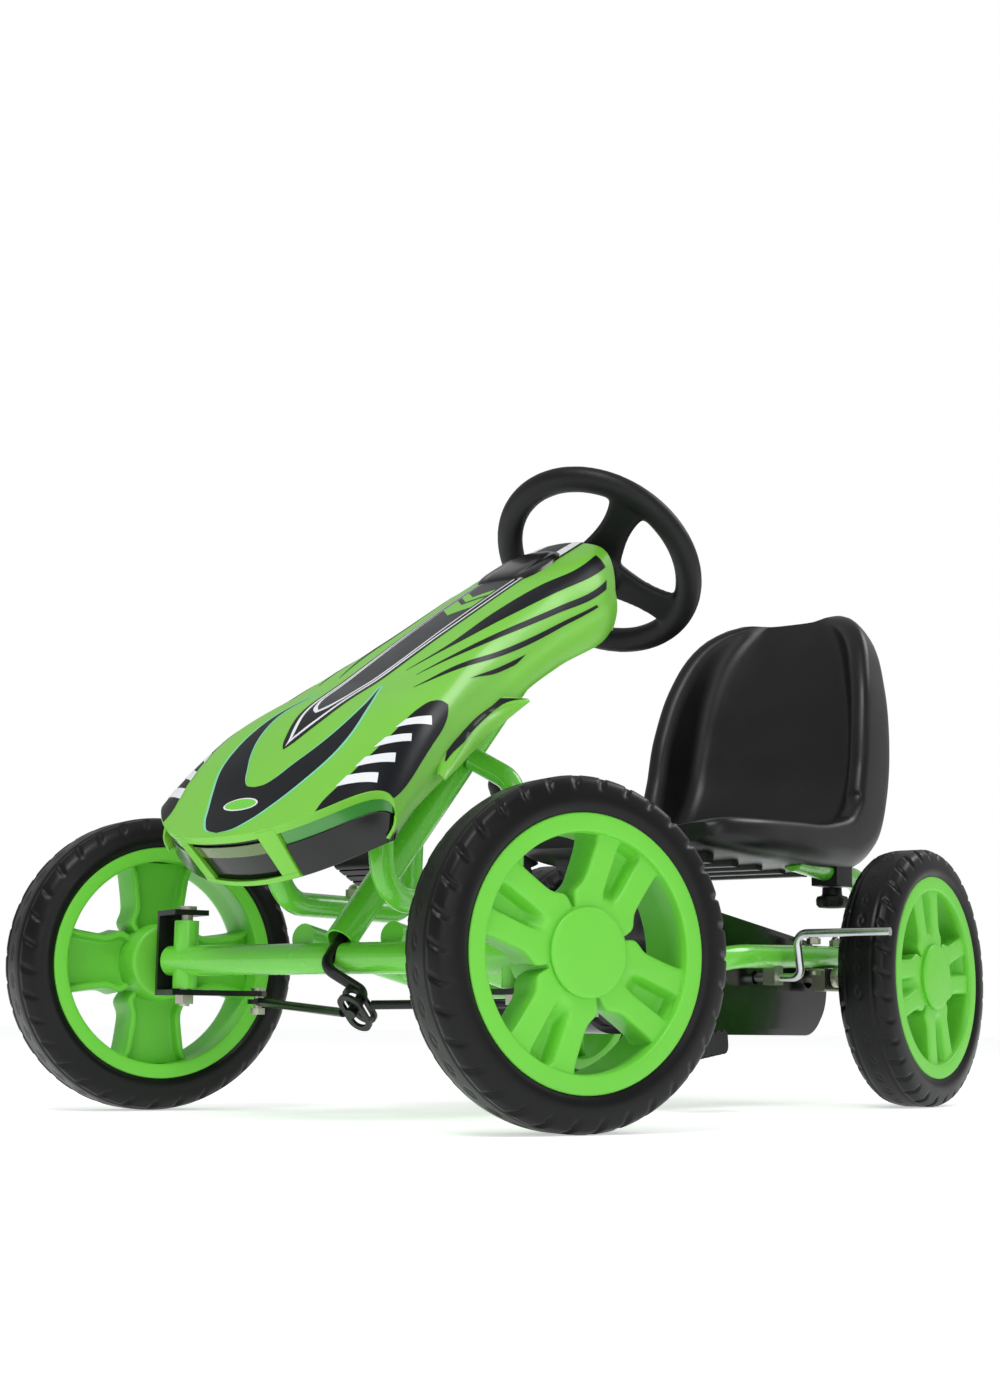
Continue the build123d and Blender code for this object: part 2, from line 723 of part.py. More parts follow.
def make_tie_rod(side):
    """Round rod with a flat eye at the arm and a slotted plate round the crank's pin."""
    x, y = arm_end(side)
    eye_z = steering_arm_z - knuckle_plate / 2 - 5
    eye = cylinder_z(x, y, eye_z - 2.2, eye_z + 2.2, tie_rod_radius + 6)
    depth = left_plate_depth if side > 0 else right_plate_depth
    turn = Rot(0, 0, wheel_turn)
    pin_local = (turn * Pos(0, -crank_arm, 0)).position
    slot_place = column_plane * Pos(pin_local.X, pin_local.Y, -crank_arm_foot - depth)
    hole_half = steering_rod_radius + pin_slot_gap
    outline = SlotOverall(2 * (plate_rim + pin_slot_run), 2 * plate_rim, rotation=90)
    hole = SlotOverall(2 * (hole_half + pin_slot_run), 2 * hole_half, rotation=90)
    centre = -pin_slot_run * 0.35
    shift = Pos(0, centre, -tie_plate / 2)
    plate = slot_place * (shift * extrude(outline - hole, tie_plate))
    inner = slot_place * Pos(-side * (plate_rim + 1), centre, 0)
    bar = rod((x, y, eye_z), inner.position, tie_rod_radius)
    bar -= slot_place * (shift * extrude(outline, tie_plate))
    bar -= eye
    link = bar.solids().sort_by(SortBy.VOLUME)[-1] + plate + eye
    return link - cylinder_z(x, y, eye_z - 20, eye_z + 20, tie_rod_radius + running_gap)


# Brake.
def make_brake_bar():
    """One bent rod: a pad bar in front of each rear tyre, on a shared pivot length."""
    left = [
        (brake_bar_x, brake_bar_end_y, brake_bar_z), (brake_bar_x, brake_knee_y, brake_bar_z),
        (brake_pivot_x, brake_knee_y - 4, brake_pivot_z),
    ]
    right = [(x, -y, z) for x, y, z in reversed(left)]
    return bent_rod(left + right, [14, 12, 12, 14], brake_rod_radius)


def make_brake_lever():
    """Hand lever on the right end of the pivot length, leaning forwards."""
    root = (brake_pivot_x, -brake_knee_y + 22, brake_pivot_z)
    points = [root, (brake_pivot_x + 12, -brake_knee_y + 8, brake_pivot_z + 40),
              (brake_pivot_x + 78, -seat_half_width - 30, brake_pivot_z + 215)]
    lever = bent_rod(points, [30], brake_rod_radius)
    y = root[1]
    lever += cylinder_y(brake_pivot_x, y - 4, y + 4, brake_pivot_z, brake_rod_radius + 4)
    bore = brake_rod_radius + 0.02
    return lever - cylinder_y(brake_pivot_x, y - 10, y + 10, brake_pivot_z, bore)


def lever_grip_ends():
    top = Vector(brake_pivot_x + 78, -seat_half_width - 30, brake_pivot_z + 215)
    base = Vector(brake_pivot_x + 12, -brake_knee_y + 8, brake_pivot_z + 40)
    along = (top - base).normalized()
    return top - along * 95, top + along * 6


def make_brake_grip():
    low, high = lever_grip_ends()
    grip = rod(low, high, brake_grip_radius) + Pos(*high) * Sphere(brake_grip_radius)
    return grip - rod(low, high - (high - low).normalized() * 5.9, brake_rod_radius + 0.02)


def make_brake_saddles():
    """Zinc saddles that hang the pivot length under the two rails."""
    saddles = []
    for side in sides.values():
        y = side * rail_rear_y
        hanger = block(brake_pivot_x - 10, brake_pivot_x + 10, y - 7, y + 7, brake_pivot_z - 8,
                       brake_pivot_z + 18)
        hanger -= cylinder_y(brake_pivot_x, y - 8, y + 8, brake_pivot_z, brake_rod_radius + running_gap)
        hanger -= make_rail_space(side, 0.1)
        saddles.append(hanger.solids().sort_by(SortBy.VOLUME)[-1])
    return Compound(saddles)


# Seat.
def seat_direction():
    """Unit direction of the seat tubes, pointing forwards."""
    run = seat_tube_front_x - seat_tube_rear_x
    rise = seat_tube_front_z - seat_tube_rear_z
    return Vector(run, 0, rise).normalized()


def seat_tube_height(x):
    share = (x - seat_tube_rear_x) / (seat_tube_front_x - seat_tube_rear_x)
    return seat_tube_rear_z + share * (seat_tube_front_z - seat_tube_rear_z)


def make_seat_shell():
    """Moulded bucket: pan, back and side bolsters, hollow underneath between ribs."""
    front = seat_front_x
    back = front - 310
    outline = [
        (front, 284), (front - 6, 300), (front - 150, 301), (back + 50, 306), (back + 15, 345),
        (back - 30, 430), (back - 78, 540), (back - 108, 586), (back - 132, 590), (back - 156, 582),
        (back - 138, 535), (back - 112, 400), (back - 60, 310), (back, 284),
    ]
    shell = prism(outline, -seat_half_width, seat_half_width)
    cavity = [
        (front + 10, 292), (back + 20, 290), (back - 30, 304), (back - 66, 345), (back - 96, 420),
        (back - 124, 540), (back - 132, 640), (back + 160, 640), (front + 10, 640),
    ]
    inner = prism(cavity, -seat_inner_half_width, seat_inner_half_width)
    shell -= inner
    rib_half = rail_rear_y - 20
    pan = prism([(front - 8, 268), (front, 288), (back, 288), (back - 6, 272)], -rib_half, rib_half)
    pan -= prism([(front - 14, 267), (front - 10, 284), (back + 8, 284), (back + 4, 267)],
                 -rib_half + 4, rib_half - 4)
    for index in range(1, 5):
        x = front - 16 - index * 58
        pan += block(x - 2, x + 2, -rib_half + 1, rib_half - 1, 269, 286)
    return shell + pan


def make_seat_clamps():
    """Split blocks under the seat that slide along the two seat tubes."""
    clamps = []
    along = seat_direction()
    middle_z = seat_tube_height(seat_clamp_x)
    for side in sides.values():
        y = side * rail_rear_y
        low = Vector(seat_clamp_x - 60, y, seat_tube_height(seat_clamp_x - 60))
        high = Vector(seat_clamp_x + 60, y, seat_tube_height(seat_clamp_x + 60))
        half = seat_clamp_length / 2
        body = block(seat_clamp_x - half, seat_clamp_x + half, y - 16, y + 16,
                     middle_z - rail_radius - 4, 283.6)
        body -= rod(low, high, rail_radius + 0.35)
        body -= cylinder_z(seat_clamp_x, y, middle_z - 40, middle_z, kingpin_radius + running_gap)
        clamps.append(body)
    return Compound(clamps)


def make_seat_knob(side):
    """Lobed clamping knob with its collar and screw, under one seat tube."""
    y = side * rail_rear_y
    top = seat_tube_height(seat_clamp_x) - rail_radius - 4.3
    knob = Circle(knob_radius - 3)
    lobe_radius = 4.0
    for index in range(6):
        angle = math.radians(index * 60)
        reach = knob_radius - lobe_radius
        knob += Pos(reach * math.cos(angle), reach * math.sin(angle)) * Circle(lobe_radius)
    shape = extrude(knob, -12) + Pos(0, 0, 3.5) * Cylinder(11, 9)
    shape = Pos(seat_clamp_x, y, top - 8) * shape
    return shape + cylinder_z(seat_clamp_x, y, top - 1, top + 3.6, kingpin_radius)


# Hood.
def hood_stations():
    """Cross sections from tail to nose: x, half width, crown, crease and skirt heights."""
    nose = hood_nose_x
    return [
        (nose - hood_length, 66, 582, 528, 486),
        (nose - 487, 75, 571, 512, 472),
        (nose - 399, 77, 523, 465, 430),
        (nose - 284, 82, 455, 398, 352),
        (nose - 189, 103, 394, 350, 300),
        (nose - 119, 122, 350, 300, 262),
        (nose - 73, 131, 308, 262, 232),
        (nose - 41, 112, 274, 250, 218),
        (nose - 17, 78, 252, 240, 208),
        (nose, 30, 234, 231, 200),
    ]


def hood_section(x, half, crown, crease, skirt, cut):
    """Closed outline of the hood at one station, made smaller by cut on top and sides."""
    flat = half - cut
    top = crown - cut
    edge = crease - cut * 0.6
    low = skirt - (0 if cut == 0 else 30)
    shoulder = (edge + (top - edge) * 0.72)
    arc = ThreePointArc((flat * 0.86, shoulder), (0, top), (-flat * 0.86, shoulder))
    left = Polyline((-flat * 0.86, shoulder), (-flat, edge), (-flat * 0.98, low))
    right = Polyline((flat * 0.98, low), (flat, edge), (flat * 0.86, shoulder))
    floor = Line((-flat * 0.98, low), (flat * 0.98, low))
    plane = Plane(origin=(x, 0, 0), x_dir=(0, 1, 0), z_dir=(1, 0, 0))
    return plane * make_face(arc + left + floor + right)


def make_hood_shell():
    outer = loft([hood_section(*station, 0) for station in hood_stations()], ruled=True)
    inner_stations = hood_stations()[:-1]
    inner_faces = [hood_section(*station, hood_wall) for station in inner_stations]
    tail = hood_stations()[0]
    inner_faces.insert(0, hood_section(tail[0] - 12, *tail[1:], hood_wall))
    inner = loft(inner_faces, ruled=True)
    return outer - inner


def make_hood_scoop():
    """Raised gloss cover on the hood's crown, close in front of the steering wheel."""
    tail, ahead = hood_stations()[1:3]
    run = ahead[0] - tail[0]
    fall = tail[2] - ahead[2]
    crown = tail[2] - fall * (scoop_x - tail[0]) / run
    body = Box(scoop_length, scoop_width, scoop_rise * 2)
    body = fillet(body.edges().filter_by(Axis.Z), 14)
    body = chamfer(body.faces().sort_by(Axis.Z)[-1].edges(), 5)
    slope = math.degrees(math.atan2(fall, run))
    placed = Pos(scoop_x, 0, crown + scoop_rise / 2) * Rot(0, slope, 0) * body
    outer = loft([hood_section(*station, -0.05) for station in hood_stations()], ruled=True)
    return (placed - outer).solids().sort_by(SortBy.VOLUME)[-1]


def make_hood_wing(side):
    """Leaf-shaped side wing that stands out from the hood's flank."""
    outline = [(173, 300), (197, 338), (249, 376), (305, 394), (339, 386), (287, 350), (229, 318)]
    leaf = prism([(hood_nose_x - back, z) for back, z in outline], wing_foot_y, wing_tip_y)
    outer = loft([hood_section(*station, -0.05) for station in hood_stations()], ruled=True)
    leaf = (leaf - outer).solids().sort_by(SortBy.VOLUME)[-1]
    return mirrored(leaf, side)


os.makedirs("parts", exist_ok=True)
make_wheels()
write("front_beam", make_front_beam())
for name, side in sides.items():
    write(f"side_rail_{name}", make_side_rail(side))
    write(f"front_loop_{name}", make_front_loop(side))
    write(f"axle_bearing_{name}", make_axle_bearing(side))
    write(f"knuckle_{name}", knuckle_place(make_knuckle(), side))
    write(f"kingpin_{name}", knuckle_place(make_kingpin(), side))
    write(f"tie_rod_{name}", make_tie_rod(side))
    write(f"pedal_{name}", make_pedal(side))
    write(f"seat_knob_{name}", make_seat_knob(side))
    write(f"hood_wing_{name}", make_hood_wing(side))
write("column_tube", make_column_tube())
write("column_bushes", make_column_bushes())
write("hood_support", make_hood_support())
write("cross_tubes", make_cross_tubes())
write("bottom_bracket", make_bottom_bracket())
write("crank_bushes", make_crank_bushes())
write("axle_straps", make_axle_straps())
write("frame_bolts", make_frame_bolts())
write("chain", make_chain())
rail_room = make_rail_space(1, 1.5)
write("chain_case_outer", make_chain_case(True, rail_room))
write("chain_case_inner", make_chain_case(False, rail_room))
write("crankset", make_crankset())
ring_bore = crank_bar_radius + 0.02
write("chainring", make_toothed_wheel(chainring_teeth, crank_x, crank_z, ring_bore, windows=6))
sprocket_bore = axle_radius + 0.02
write("rear_sprocket", make_toothed_wheel(sprocket_teeth, rear_x, axle_z, sprocket_bore))
write("rear_axle", make_rear_axle())
write("steering_rod", turn_column(make_steering_rod()))
write("steering_wheel", turn_column(make_steering_wheel()))
write("wheel_screw", make_wheel_screw())
write("brake_bar", make_brake_bar())
write("brake_lever", make_brake_lever())
write("brake_grip", make_brake_grip())
write("brake_saddles", make_brake_saddles())
write("seat_shell", make_seat_shell())
write("seat_clamps", make_seat_clamps())
write("hood_shell", make_hood_shell())
write("hood_scoop", make_hood_scoop())
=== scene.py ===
import bpy
import bmesh
import numpy as np
from mathutils import Matrix, Vector


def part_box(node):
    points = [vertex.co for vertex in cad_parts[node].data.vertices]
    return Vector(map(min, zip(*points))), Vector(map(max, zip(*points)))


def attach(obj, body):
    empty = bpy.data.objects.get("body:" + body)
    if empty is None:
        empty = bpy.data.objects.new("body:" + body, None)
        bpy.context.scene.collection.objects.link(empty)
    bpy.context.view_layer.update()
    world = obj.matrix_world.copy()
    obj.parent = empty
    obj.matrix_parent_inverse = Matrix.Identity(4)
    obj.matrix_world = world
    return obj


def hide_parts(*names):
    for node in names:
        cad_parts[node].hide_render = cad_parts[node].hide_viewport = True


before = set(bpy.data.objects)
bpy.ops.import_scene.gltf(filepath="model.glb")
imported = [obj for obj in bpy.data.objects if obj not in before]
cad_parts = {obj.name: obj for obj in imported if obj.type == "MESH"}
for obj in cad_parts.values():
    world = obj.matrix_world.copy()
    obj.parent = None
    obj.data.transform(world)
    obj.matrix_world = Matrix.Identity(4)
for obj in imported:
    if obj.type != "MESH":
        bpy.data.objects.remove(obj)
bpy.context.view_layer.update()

# Pedal go kart, metres, X forwards, Y to the driver's left, Z up.
# Lengths that are easier to read in millimetres are multiplied by mm.
mm = 0.001
sides = {"left": 1, "right": -1}


# Camera, floor and light.
cameraLook = {"place": (1.7096, 1.1273, 0.0836), "azimuth": 35.249, "elevation": -9.334,
              "roll": 0.575, "lens": 50.82}
floorLook = {"size": 40.0, "tint": (0.93, 0.94, 0.95), "glow": 0.5}
lightLook = {"sky": (1.0, 1.0, 1.0), "backdropPower": 1.0, "skyPower": 0.5,
             "keyPlace": (2.0, 0.4, 2.9), "keyPower": 46.0, "keySize": 1.4,
             "fillPlace": (2.2, 2.6, 1.2), "fillPower": 16.0, "fillSize": 2.0,
             "rimPlace": (-2.0, 1.2, 2.4), "rimPower": 26.0, "rimSize": 1.5}


def addCamera():
    # back points from the object to the camera; right and up are turned by the roll
    look = cameraLook
    az, el, roll = (np.radians(look[key]) for key in ("azimuth", "elevation", "roll"))
    back = Vector((np.cos(az) * np.cos(el), np.sin(az) * np.cos(el), np.sin(el)))
    right = Vector((0, 0, 1)).cross(back).normalized()
    up = back.cross(right)
    rightRolled = np.cos(roll) * right + np.sin(roll) * up
    upRolled = np.cos(roll) * up - np.sin(roll) * right
    turn = Matrix((rightRolled, upRolled, back)).transposed().to_4x4()
    data = bpy.data.cameras.new("camera")
    data.lens = look["lens"]
    data.sensor_width = 36.0
    camera = bpy.data.objects.new("camera", data)
    bpy.context.collection.objects.link(camera)
    camera.matrix_world = Matrix.Translation(look["place"]) @ turn
    bpy.context.scene.camera = camera


def addLight(name, place, power, size, target=(0, 0, 0.3)):
    # a soft round lamp at a place, aimed at a target
    data = bpy.data.lights.new(name, "AREA")
    data.shape = "DISK"
    data.size = size
    data.energy = power
    light = bpy.data.objects.new(name, data)
    bpy.context.collection.objects.link(light)
    light.location = place
    light.rotation_euler = (Vector(target) - Vector(place)).to_track_quat("-Z", "Y").to_euler()


def addStudio():
    # pale floor, even sky, white backdrop for the camera only, and three soft lamps
    look = floorLook
    half = look["size"] / 2
    corners = [(-half, -half, 0), (half, -half, 0), (half, half, 0), (-half, half, 0)]
    mesh = bpy.data.meshes.new("floor")
    mesh.from_pydata(corners, [], [(0, 1, 2, 3)])
    floor = bpy.data.objects.new("floor", mesh)
    bpy.context.collection.objects.link(floor)
    paper = bpy.data.materials.new("floorPaper")
    paper.use_nodes = True
    shader = paper.node_tree.nodes["Principled BSDF"]
    shader.inputs["Base Color"].default_value = (*look["tint"], 1)
    shader.inputs["Roughness"].default_value = 0.55
    shader.inputs["Emission Color"].default_value = (1, 1, 1, 1)
    shader.inputs["Emission Strength"].default_value = look["glow"]
    mesh.materials.append(paper)
    world = bpy.data.worlds.new("studio")
    bpy.context.scene.world = world
    world.use_nodes = True
    nodes, links = world.node_tree.nodes, world.node_tree.links
    sky = nodes["Background"]
    sky.inputs["Color"].default_value = (*lightLook["sky"], 1)
    sky.inputs["Strength"].default_value = lightLook["skyPower"]
    backdrop = nodes.new("ShaderNodeBackground")  # what the camera sees stays white paper
    backdrop.inputs["Color"].default_value = (*lightLook["sky"], 1)
    backdrop.inputs["Strength"].default_value = lightLook["backdropPower"]
    ray = nodes.new("ShaderNodeLightPath")
    either = nodes.new("ShaderNodeMixShader")
    links.new(ray.outputs["Is Camera Ray"], either.inputs["Fac"])
    links.new(sky.outputs["Background"], either.inputs[1])
    links.new(backdrop.outputs["Background"], either.inputs[2])
    links.new(either.outputs["Shader"], nodes["World Output"].inputs["Surface"])
    for kind in ("key", "fill", "rim"):
        addLight(kind + "Light", lightLook[kind + "Place"], lightLook[kind + "Power"],
                 lightLook[kind + "Size"])
    bpy.context.scene.view_settings.view_transform = "Standard"


addCamera()
addStudio()
print("stage: camera, floor and light")


# Finishes.
def linear(red, green, blue):
    # screen colour out of 255 turned into the shader's linear colour
    value = np.array((red, green, blue)) / 255
    return tuple(np.where(value <= 0.04045, value / 12.92, ((value + 0.055) / 1.055) ** 2.4))


finishes = {
    "limePlastic": dict(colour=linear(112, 190, 52), roughness=0.36, coat=0.12, mottle=0.04,
                        grain=900, grainDepth=0.00006, scuff=0.03),
    "limeWheel": dict(colour=linear(104, 198, 56), roughness=0.42, coat=0.05, mottle=0.04,
                      grain=1100, grainDepth=0.0001, scuff=0.04),
    "limePaint": dict(colour=linear(104, 200, 60), roughness=0.24, coat=0.5, mottle=0.03,
                      grain=240, grainDepth=0.00005, scuff=0.03),
    # dark olive green: painted shade under the nose's lip between the posts
    "limeGrillePaintedShade": dict(colour=linear(74, 98, 34), roughness=0.12, coat=0.8, mottle=0.1,
                     grain=260, grainDepth=0.0001, scuff=0.02),
    # darker copy of the lime green: painted shade for the nose's green facets under the lip
    "limeFacetPaintedShade": dict(colour=linear(52, 132, 48), roughness=0.18, coat=0.6, mottle=0.12,
                      grain=260, grainDepth=0.00005, scuff=0.02),
    "glossBlack": dict(colour=linear(9, 9, 11), roughness=0.17, shine=0.35, coat=0.25,
                       mottle=0.1, grain=200, grainDepth=0.00004, scuff=0.04),
    "decalBlack": dict(colour=linear(15, 17, 22), roughness=0.34, shine=0.15, mottle=0.08,
                       grain=700, grainDepth=0.00002, scuff=0.04),
    "decalTeal": dict(colour=linear(120, 205, 165), roughness=0.3, mottle=0.04,
                      grain=700, grainDepth=0.00002, scuff=0.03),
    "decalWhite": dict(colour=linear(226, 229, 232), roughness=0.34, mottle=0.03,
                       grain=700, grainDepth=0.00002, scuff=0.03),
    "carbonFilm": dict(colour=linear(44, 46, 50), roughness=0.32, shine=0.3, mottle=0.1,
                       grain=700, grainDepth=0.00003, scuff=0.04, weave=420),
    "gripBlack": dict(colour=linear(12, 12, 13), roughness=0.42, shine=0.3, mottle=0.12,
                      grain=1500, grainDepth=0.00014, scuff=0.05),
    "seatBlack": dict(colour=linear(13, 13, 15), roughness=0.3, shine=0.35, mottle=0.12,
                      grain=1300, grainDepth=0.00012, scuff=0.05),
    "tyreBlack": dict(colour=linear(7, 7, 8), roughness=0.33, shine=0.25, mottle=0.18,
                      grain=800, grainDepth=0.00012, scuff=0.06),
    "blackPaint": dict(colour=linear(13, 13, 15), roughness=0.3, shine=0.3, coat=0.2,
                       mottle=0.1, grain=400, grainDepth=0.00006, scuff=0.05),
    "zincSteel": dict(colour=linear(188, 186, 172), roughness=0.34, metal=1.0, mottle=0.18,
                      grain=420, grainDepth=0.00006, scuff=0.1),
    "brightSteel": dict(colour=linear(200, 202, 205), roughness=0.16, metal=1.0, mottle=0.08,
                        grain=300, grainDepth=0.00003, scuff=0.06),
}


def makeFinish(name, colour, roughness, grain, grainDepth, mottle, scuff, coat=0.0, metal=0.0,
               shine=0.5, weave=0.0):
    # colour drifts with a slow noise, roughness with scuffs, and a fine grain bumps the surface
    finish = bpy.data.materials.new(name)
    finish.use_nodes = True
    nodes, links = finish.node_tree.nodes, finish.node_tree.links
    shader = nodes["Principled BSDF"]
    shader.inputs["Metallic"].default_value = metal
    shader.inputs["Coat Weight"].default_value = coat
    shader.inputs["Coat Roughness"].default_value = 0.08
    shader.inputs["IOR"].default_value = 1.48
    shader.inputs["Specular IOR Level"].default_value = shine
    spot = nodes.new("ShaderNodeTexCoord")
    drift = nodes.new("ShaderNodeTexNoise")
    drift.inputs["Scale"].default_value = 9.0
    drift.inputs["Detail"].default_value = 4.0
    links.new(spot.outputs["Object"], drift.inputs["Vector"])
    ramp = nodes.new("ShaderNodeValToRGB")
    ramp.color_ramp.elements[0].position = 0.3
    ramp.color_ramp.elements[1].position = 0.7
    ramp.color_ramp.elements[0].color = (*[part * (1 - mottle) for part in colour], 1)
    ramp.color_ramp.elements[1].color = (*[min(part * (1 + mottle), 1) for part in colour], 1)
    links.new(drift.outputs["Fac"], ramp.inputs["Fac"])
    base = ramp.outputs["Color"]
    if weave:
        cloth = nodes.new("ShaderNodeTexChecker")
        cloth.inputs["Scale"].default_value = weave
        cloth.inputs["Color1"].default_value = (*colour, 1)
        cloth.inputs["Color2"].default_value = (*[part * 0.45 for part in colour], 1)
        links.new(spot.outputs["Object"], cloth.inputs["Vector"])
        base = cloth.outputs["Color"]
    links.new(base, shader.inputs["Base Color"])
    rub = nodes.new("ShaderNodeTexNoise")
    rub.inputs["Scale"].default_value = 22.0
    rub.inputs["Detail"].default_value = 3.0
    links.new(spot.outputs["Object"], rub.inputs["Vector"])
    spread = nodes.new("ShaderNodeMapRange")
    spread.inputs["From Min"].default_value = 0.35
    spread.inputs["From Max"].default_value = 0.75
    spread.inputs["To Min"].default_value = roughness
    spread.inputs["To Max"].default_value = roughness + scuff * 2
    links.new(rub.outputs["Fac"], spread.inputs["Value"])
    links.new(spread.outputs["Result"], shader.inputs["Roughness"])
    fine = nodes.new("ShaderNodeTexNoise")
    fine.inputs["Scale"].default_value = grain
    fine.inputs["Detail"].default_value = 2.0
    links.new(spot.outputs["Object"], fine.inputs["Vector"])
    bump = nodes.new("ShaderNodeBump")
    bump.inputs["Distance"].default_value = grainDepth
    bump.inputs["Strength"].default_value = 0.7
    links.new(fine.outputs["Fac"], bump.inputs["Height"])
    links.new(bump.outputs["Normal"], shader.inputs["Normal"])
    return finish


finishOf = {name: makeFinish(name, **look) for name, look in finishes.items()}

cadFinishes = {
    "limePaint": ["front_beam", "side_rail_left", "side_rail_right", "front_loop_left",
                  "front_loop_right", "column_tube", "hood_support", "cross_tubes",
                  "bottom_bracket"],
    "glossBlack": ["chain_case_outer", "chain_case_inner"],
    "blackPaint": ["knuckle_left", "knuckle_right", "tie_rod_left", "tie_rod_right",
                   "brake_lever", "steering_rod", "crankset", "chain", "chainring",
                   "rear_sprocket"],
    "gripBlack": ["brake_grip", "pedal_left", "pedal_right", "seat_knob_left",
                  "seat_knob_right", "axle_bearing_left", "axle_bearing_right",
                  "column_bushes", "crank_bushes", "seat_clamps"],
    "zincSteel": ["kingpin_left", "kingpin_right", "axle_straps", "frame_bolts", "rear_axle",
                  "brake_saddles", "wheel_screw"],
    "brightSteel": ["brake_bar"],
}
for finishName, nodeNames in cadFinishes.items():
    for nodeName in nodeNames:
        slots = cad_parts[nodeName].material_slots
        for place in slots:
            place.material = finishOf[finishName]
print("stage: finishes")


# Mesh helpers.
def addPiece(name, points, faces, finish, body, nodes=(), sharp=35.0, tidy=True):
    # a mesh from points and faces: doubles merged, faces turned outwards, edges sharp above an
    # angle; it rides on a body and stands for CAD nodes
    mesh = bpy.data.meshes.new(name)
    mesh.from_pydata(np.asarray(points).reshape(-1, 3).tolist(), [], [list(f) for f in faces])
    if tidy:
        work = bmesh.new()
        work.from_mesh(mesh)
        bmesh.ops.remove_doubles(work, verts=work.verts, dist=0.00001)
        bmesh.ops.dissolve_degenerate(work, edges=work.edges, dist=0.000005)
        bmesh.ops.recalc_face_normals(work, faces=work.faces)
        work.to_mesh(mesh)
        work.free()
    mesh.polygons.foreach_set("use_smooth", np.ones(len(mesh.polygons), dtype=bool))
    mesh.set_sharp_from_angle(angle=np.radians(sharp))
    mesh.materials.append(finishOf[finish])
    piece = bpy.data.objects.new(name, mesh)
    bpy.context.collection.objects.link(piece)
    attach(piece, body)
    if nodes:
        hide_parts(*nodes)
    return piece


def gridFaces(rows, columns, wrapRows=False, wrapColumns=False, start=0):
    # quads between neighbouring rows and columns of a grid whose index is row * columns + column
    lastRow = rows if wrapRows else rows - 1
    lastColumn = columns if wrapColumns else columns - 1
    r, c = np.meshgrid(np.arange(lastRow), np.arange(lastColumn), indexing="ij")
    r2, c2 = (r + 1) % rows, (c + 1) % columns
    quads = np.stack([r * columns + c, r * columns + c2, r2 * columns + c2, r2 * columns + c], -1)
    return (quads.reshape(-1, 4) + start).tolist()


def tubeFaces(rows, columns, start=0):
    # a grid closed across its columns, with a cap polygon at each end
    faces = gridFaces(rows, columns, wrapColumns=True, start=start)
    faces.append(list(range(start, start + columns)))
    faces.append(list(range(start + (rows - 1) * columns, start + rows * columns)))
    return faces


def rimFaces(rows, columns):
    # the wall between two stacked grids of the same size
    size = rows * columns
    ring = np.concatenate([np.arange(rows) * columns, (rows - 1) * columns + np.arange(1, columns),
                           np.arange(rows - 1)[::-1] * columns + columns - 1,
                           np.arange(1, columns - 1)[::-1]])
    following = np.roll(ring, -1)
    return np.stack([ring, following, following + size, ring + size], -1).tolist()


def slabFaces(rows, columns):
    # two grids of the same size, one behind the other, and the wall round their edge
    both = gridFaces(rows, columns) + gridFaces(rows, columns, start=rows * columns)
    return both + rimFaces(rows, columns)


def smoothLine(t, knots, values):
    # cubic Hermite curve through the values, with slopes from neighbouring knots
    knots, values = np.asarray(knots, float), np.asarray(values, float)
    slopes = np.gradient(values, knots, axis=0)
    t = np.clip(t, knots[0], knots[-1])
    i = np.clip(np.searchsorted(knots, t) - 1, 0, len(knots) - 2)
    step = knots[i + 1] - knots[i]
    u = (t - knots[i]) / step
    if values.ndim > 1:
        u, step = u[..., None], step[..., None]
    return ((2 * u**3 - 3 * u**2 + 1) * values[i] + (u**3 - 2 * u**2 + u) * step * slopes[i]
            + (3 * u**2 - 2 * u**3) * values[i + 1] + (u**3 - u**2) * step * slopes[i + 1])


def alongPoints(points, count):
    # evenly spaced places on the smooth line through a few points, by length
    points = np.asarray(points, float)
    length = np.concatenate([[0], np.cumsum(np.linalg.norm(np.diff(points, axis=0), axis=1))])
    return smoothLine(np.linspace(0, length[-1], count), length, points)


def revolve(profile, count, centre=(0, 0, 0)):
    # (radius, y) pairs turned about the Y axis: x = r cos a, z = r sin a
    angle = np.linspace(0, 2 * np.pi, count, endpoint=False)[:, None]
    radius, height = np.asarray(profile, float).T
    points = np.stack([radius * np.cos(angle), height + 0 * angle, radius * np.sin(angle)], -1)
    return points + np.asarray(centre)


def roundedLoop(corners, radius, steps=4):
    # closed outline of (a, b) corners, each corner rounded by a quadratic curve
    corners = np.asarray(corners, float)
    before, after = np.roll(corners, 1, axis=0), np.roll(corners, -1, axis=0)
    radius = np.broadcast_to(np.asarray(radius, float), len(corners))[:, None]

    def towards(other):
        # a place on the edge to the next corner, at most half way along
        gap = other - corners
        length = np.linalg.norm(gap, axis=1, keepdims=True)
        return corners + gap / length * np.minimum(radius, length * 0.48)
    start, end = towards(before), towards(after)
    u = np.linspace(0, 1, steps + 1)[None, :, None]
    curve = (1 - u)**2 * start[:, None] + 2 * u * (1 - u) * corners[:, None] + u**2 * end[:, None]
    return curve.reshape(-1, 2)


def addModifier(piece, kind, **values):
    # a live modifier with its settings given by name
    modifier = piece.modifiers.new(kind.title(), kind)
    for key, value in values.items():
        setattr(modifier, key, value)
    return modifier


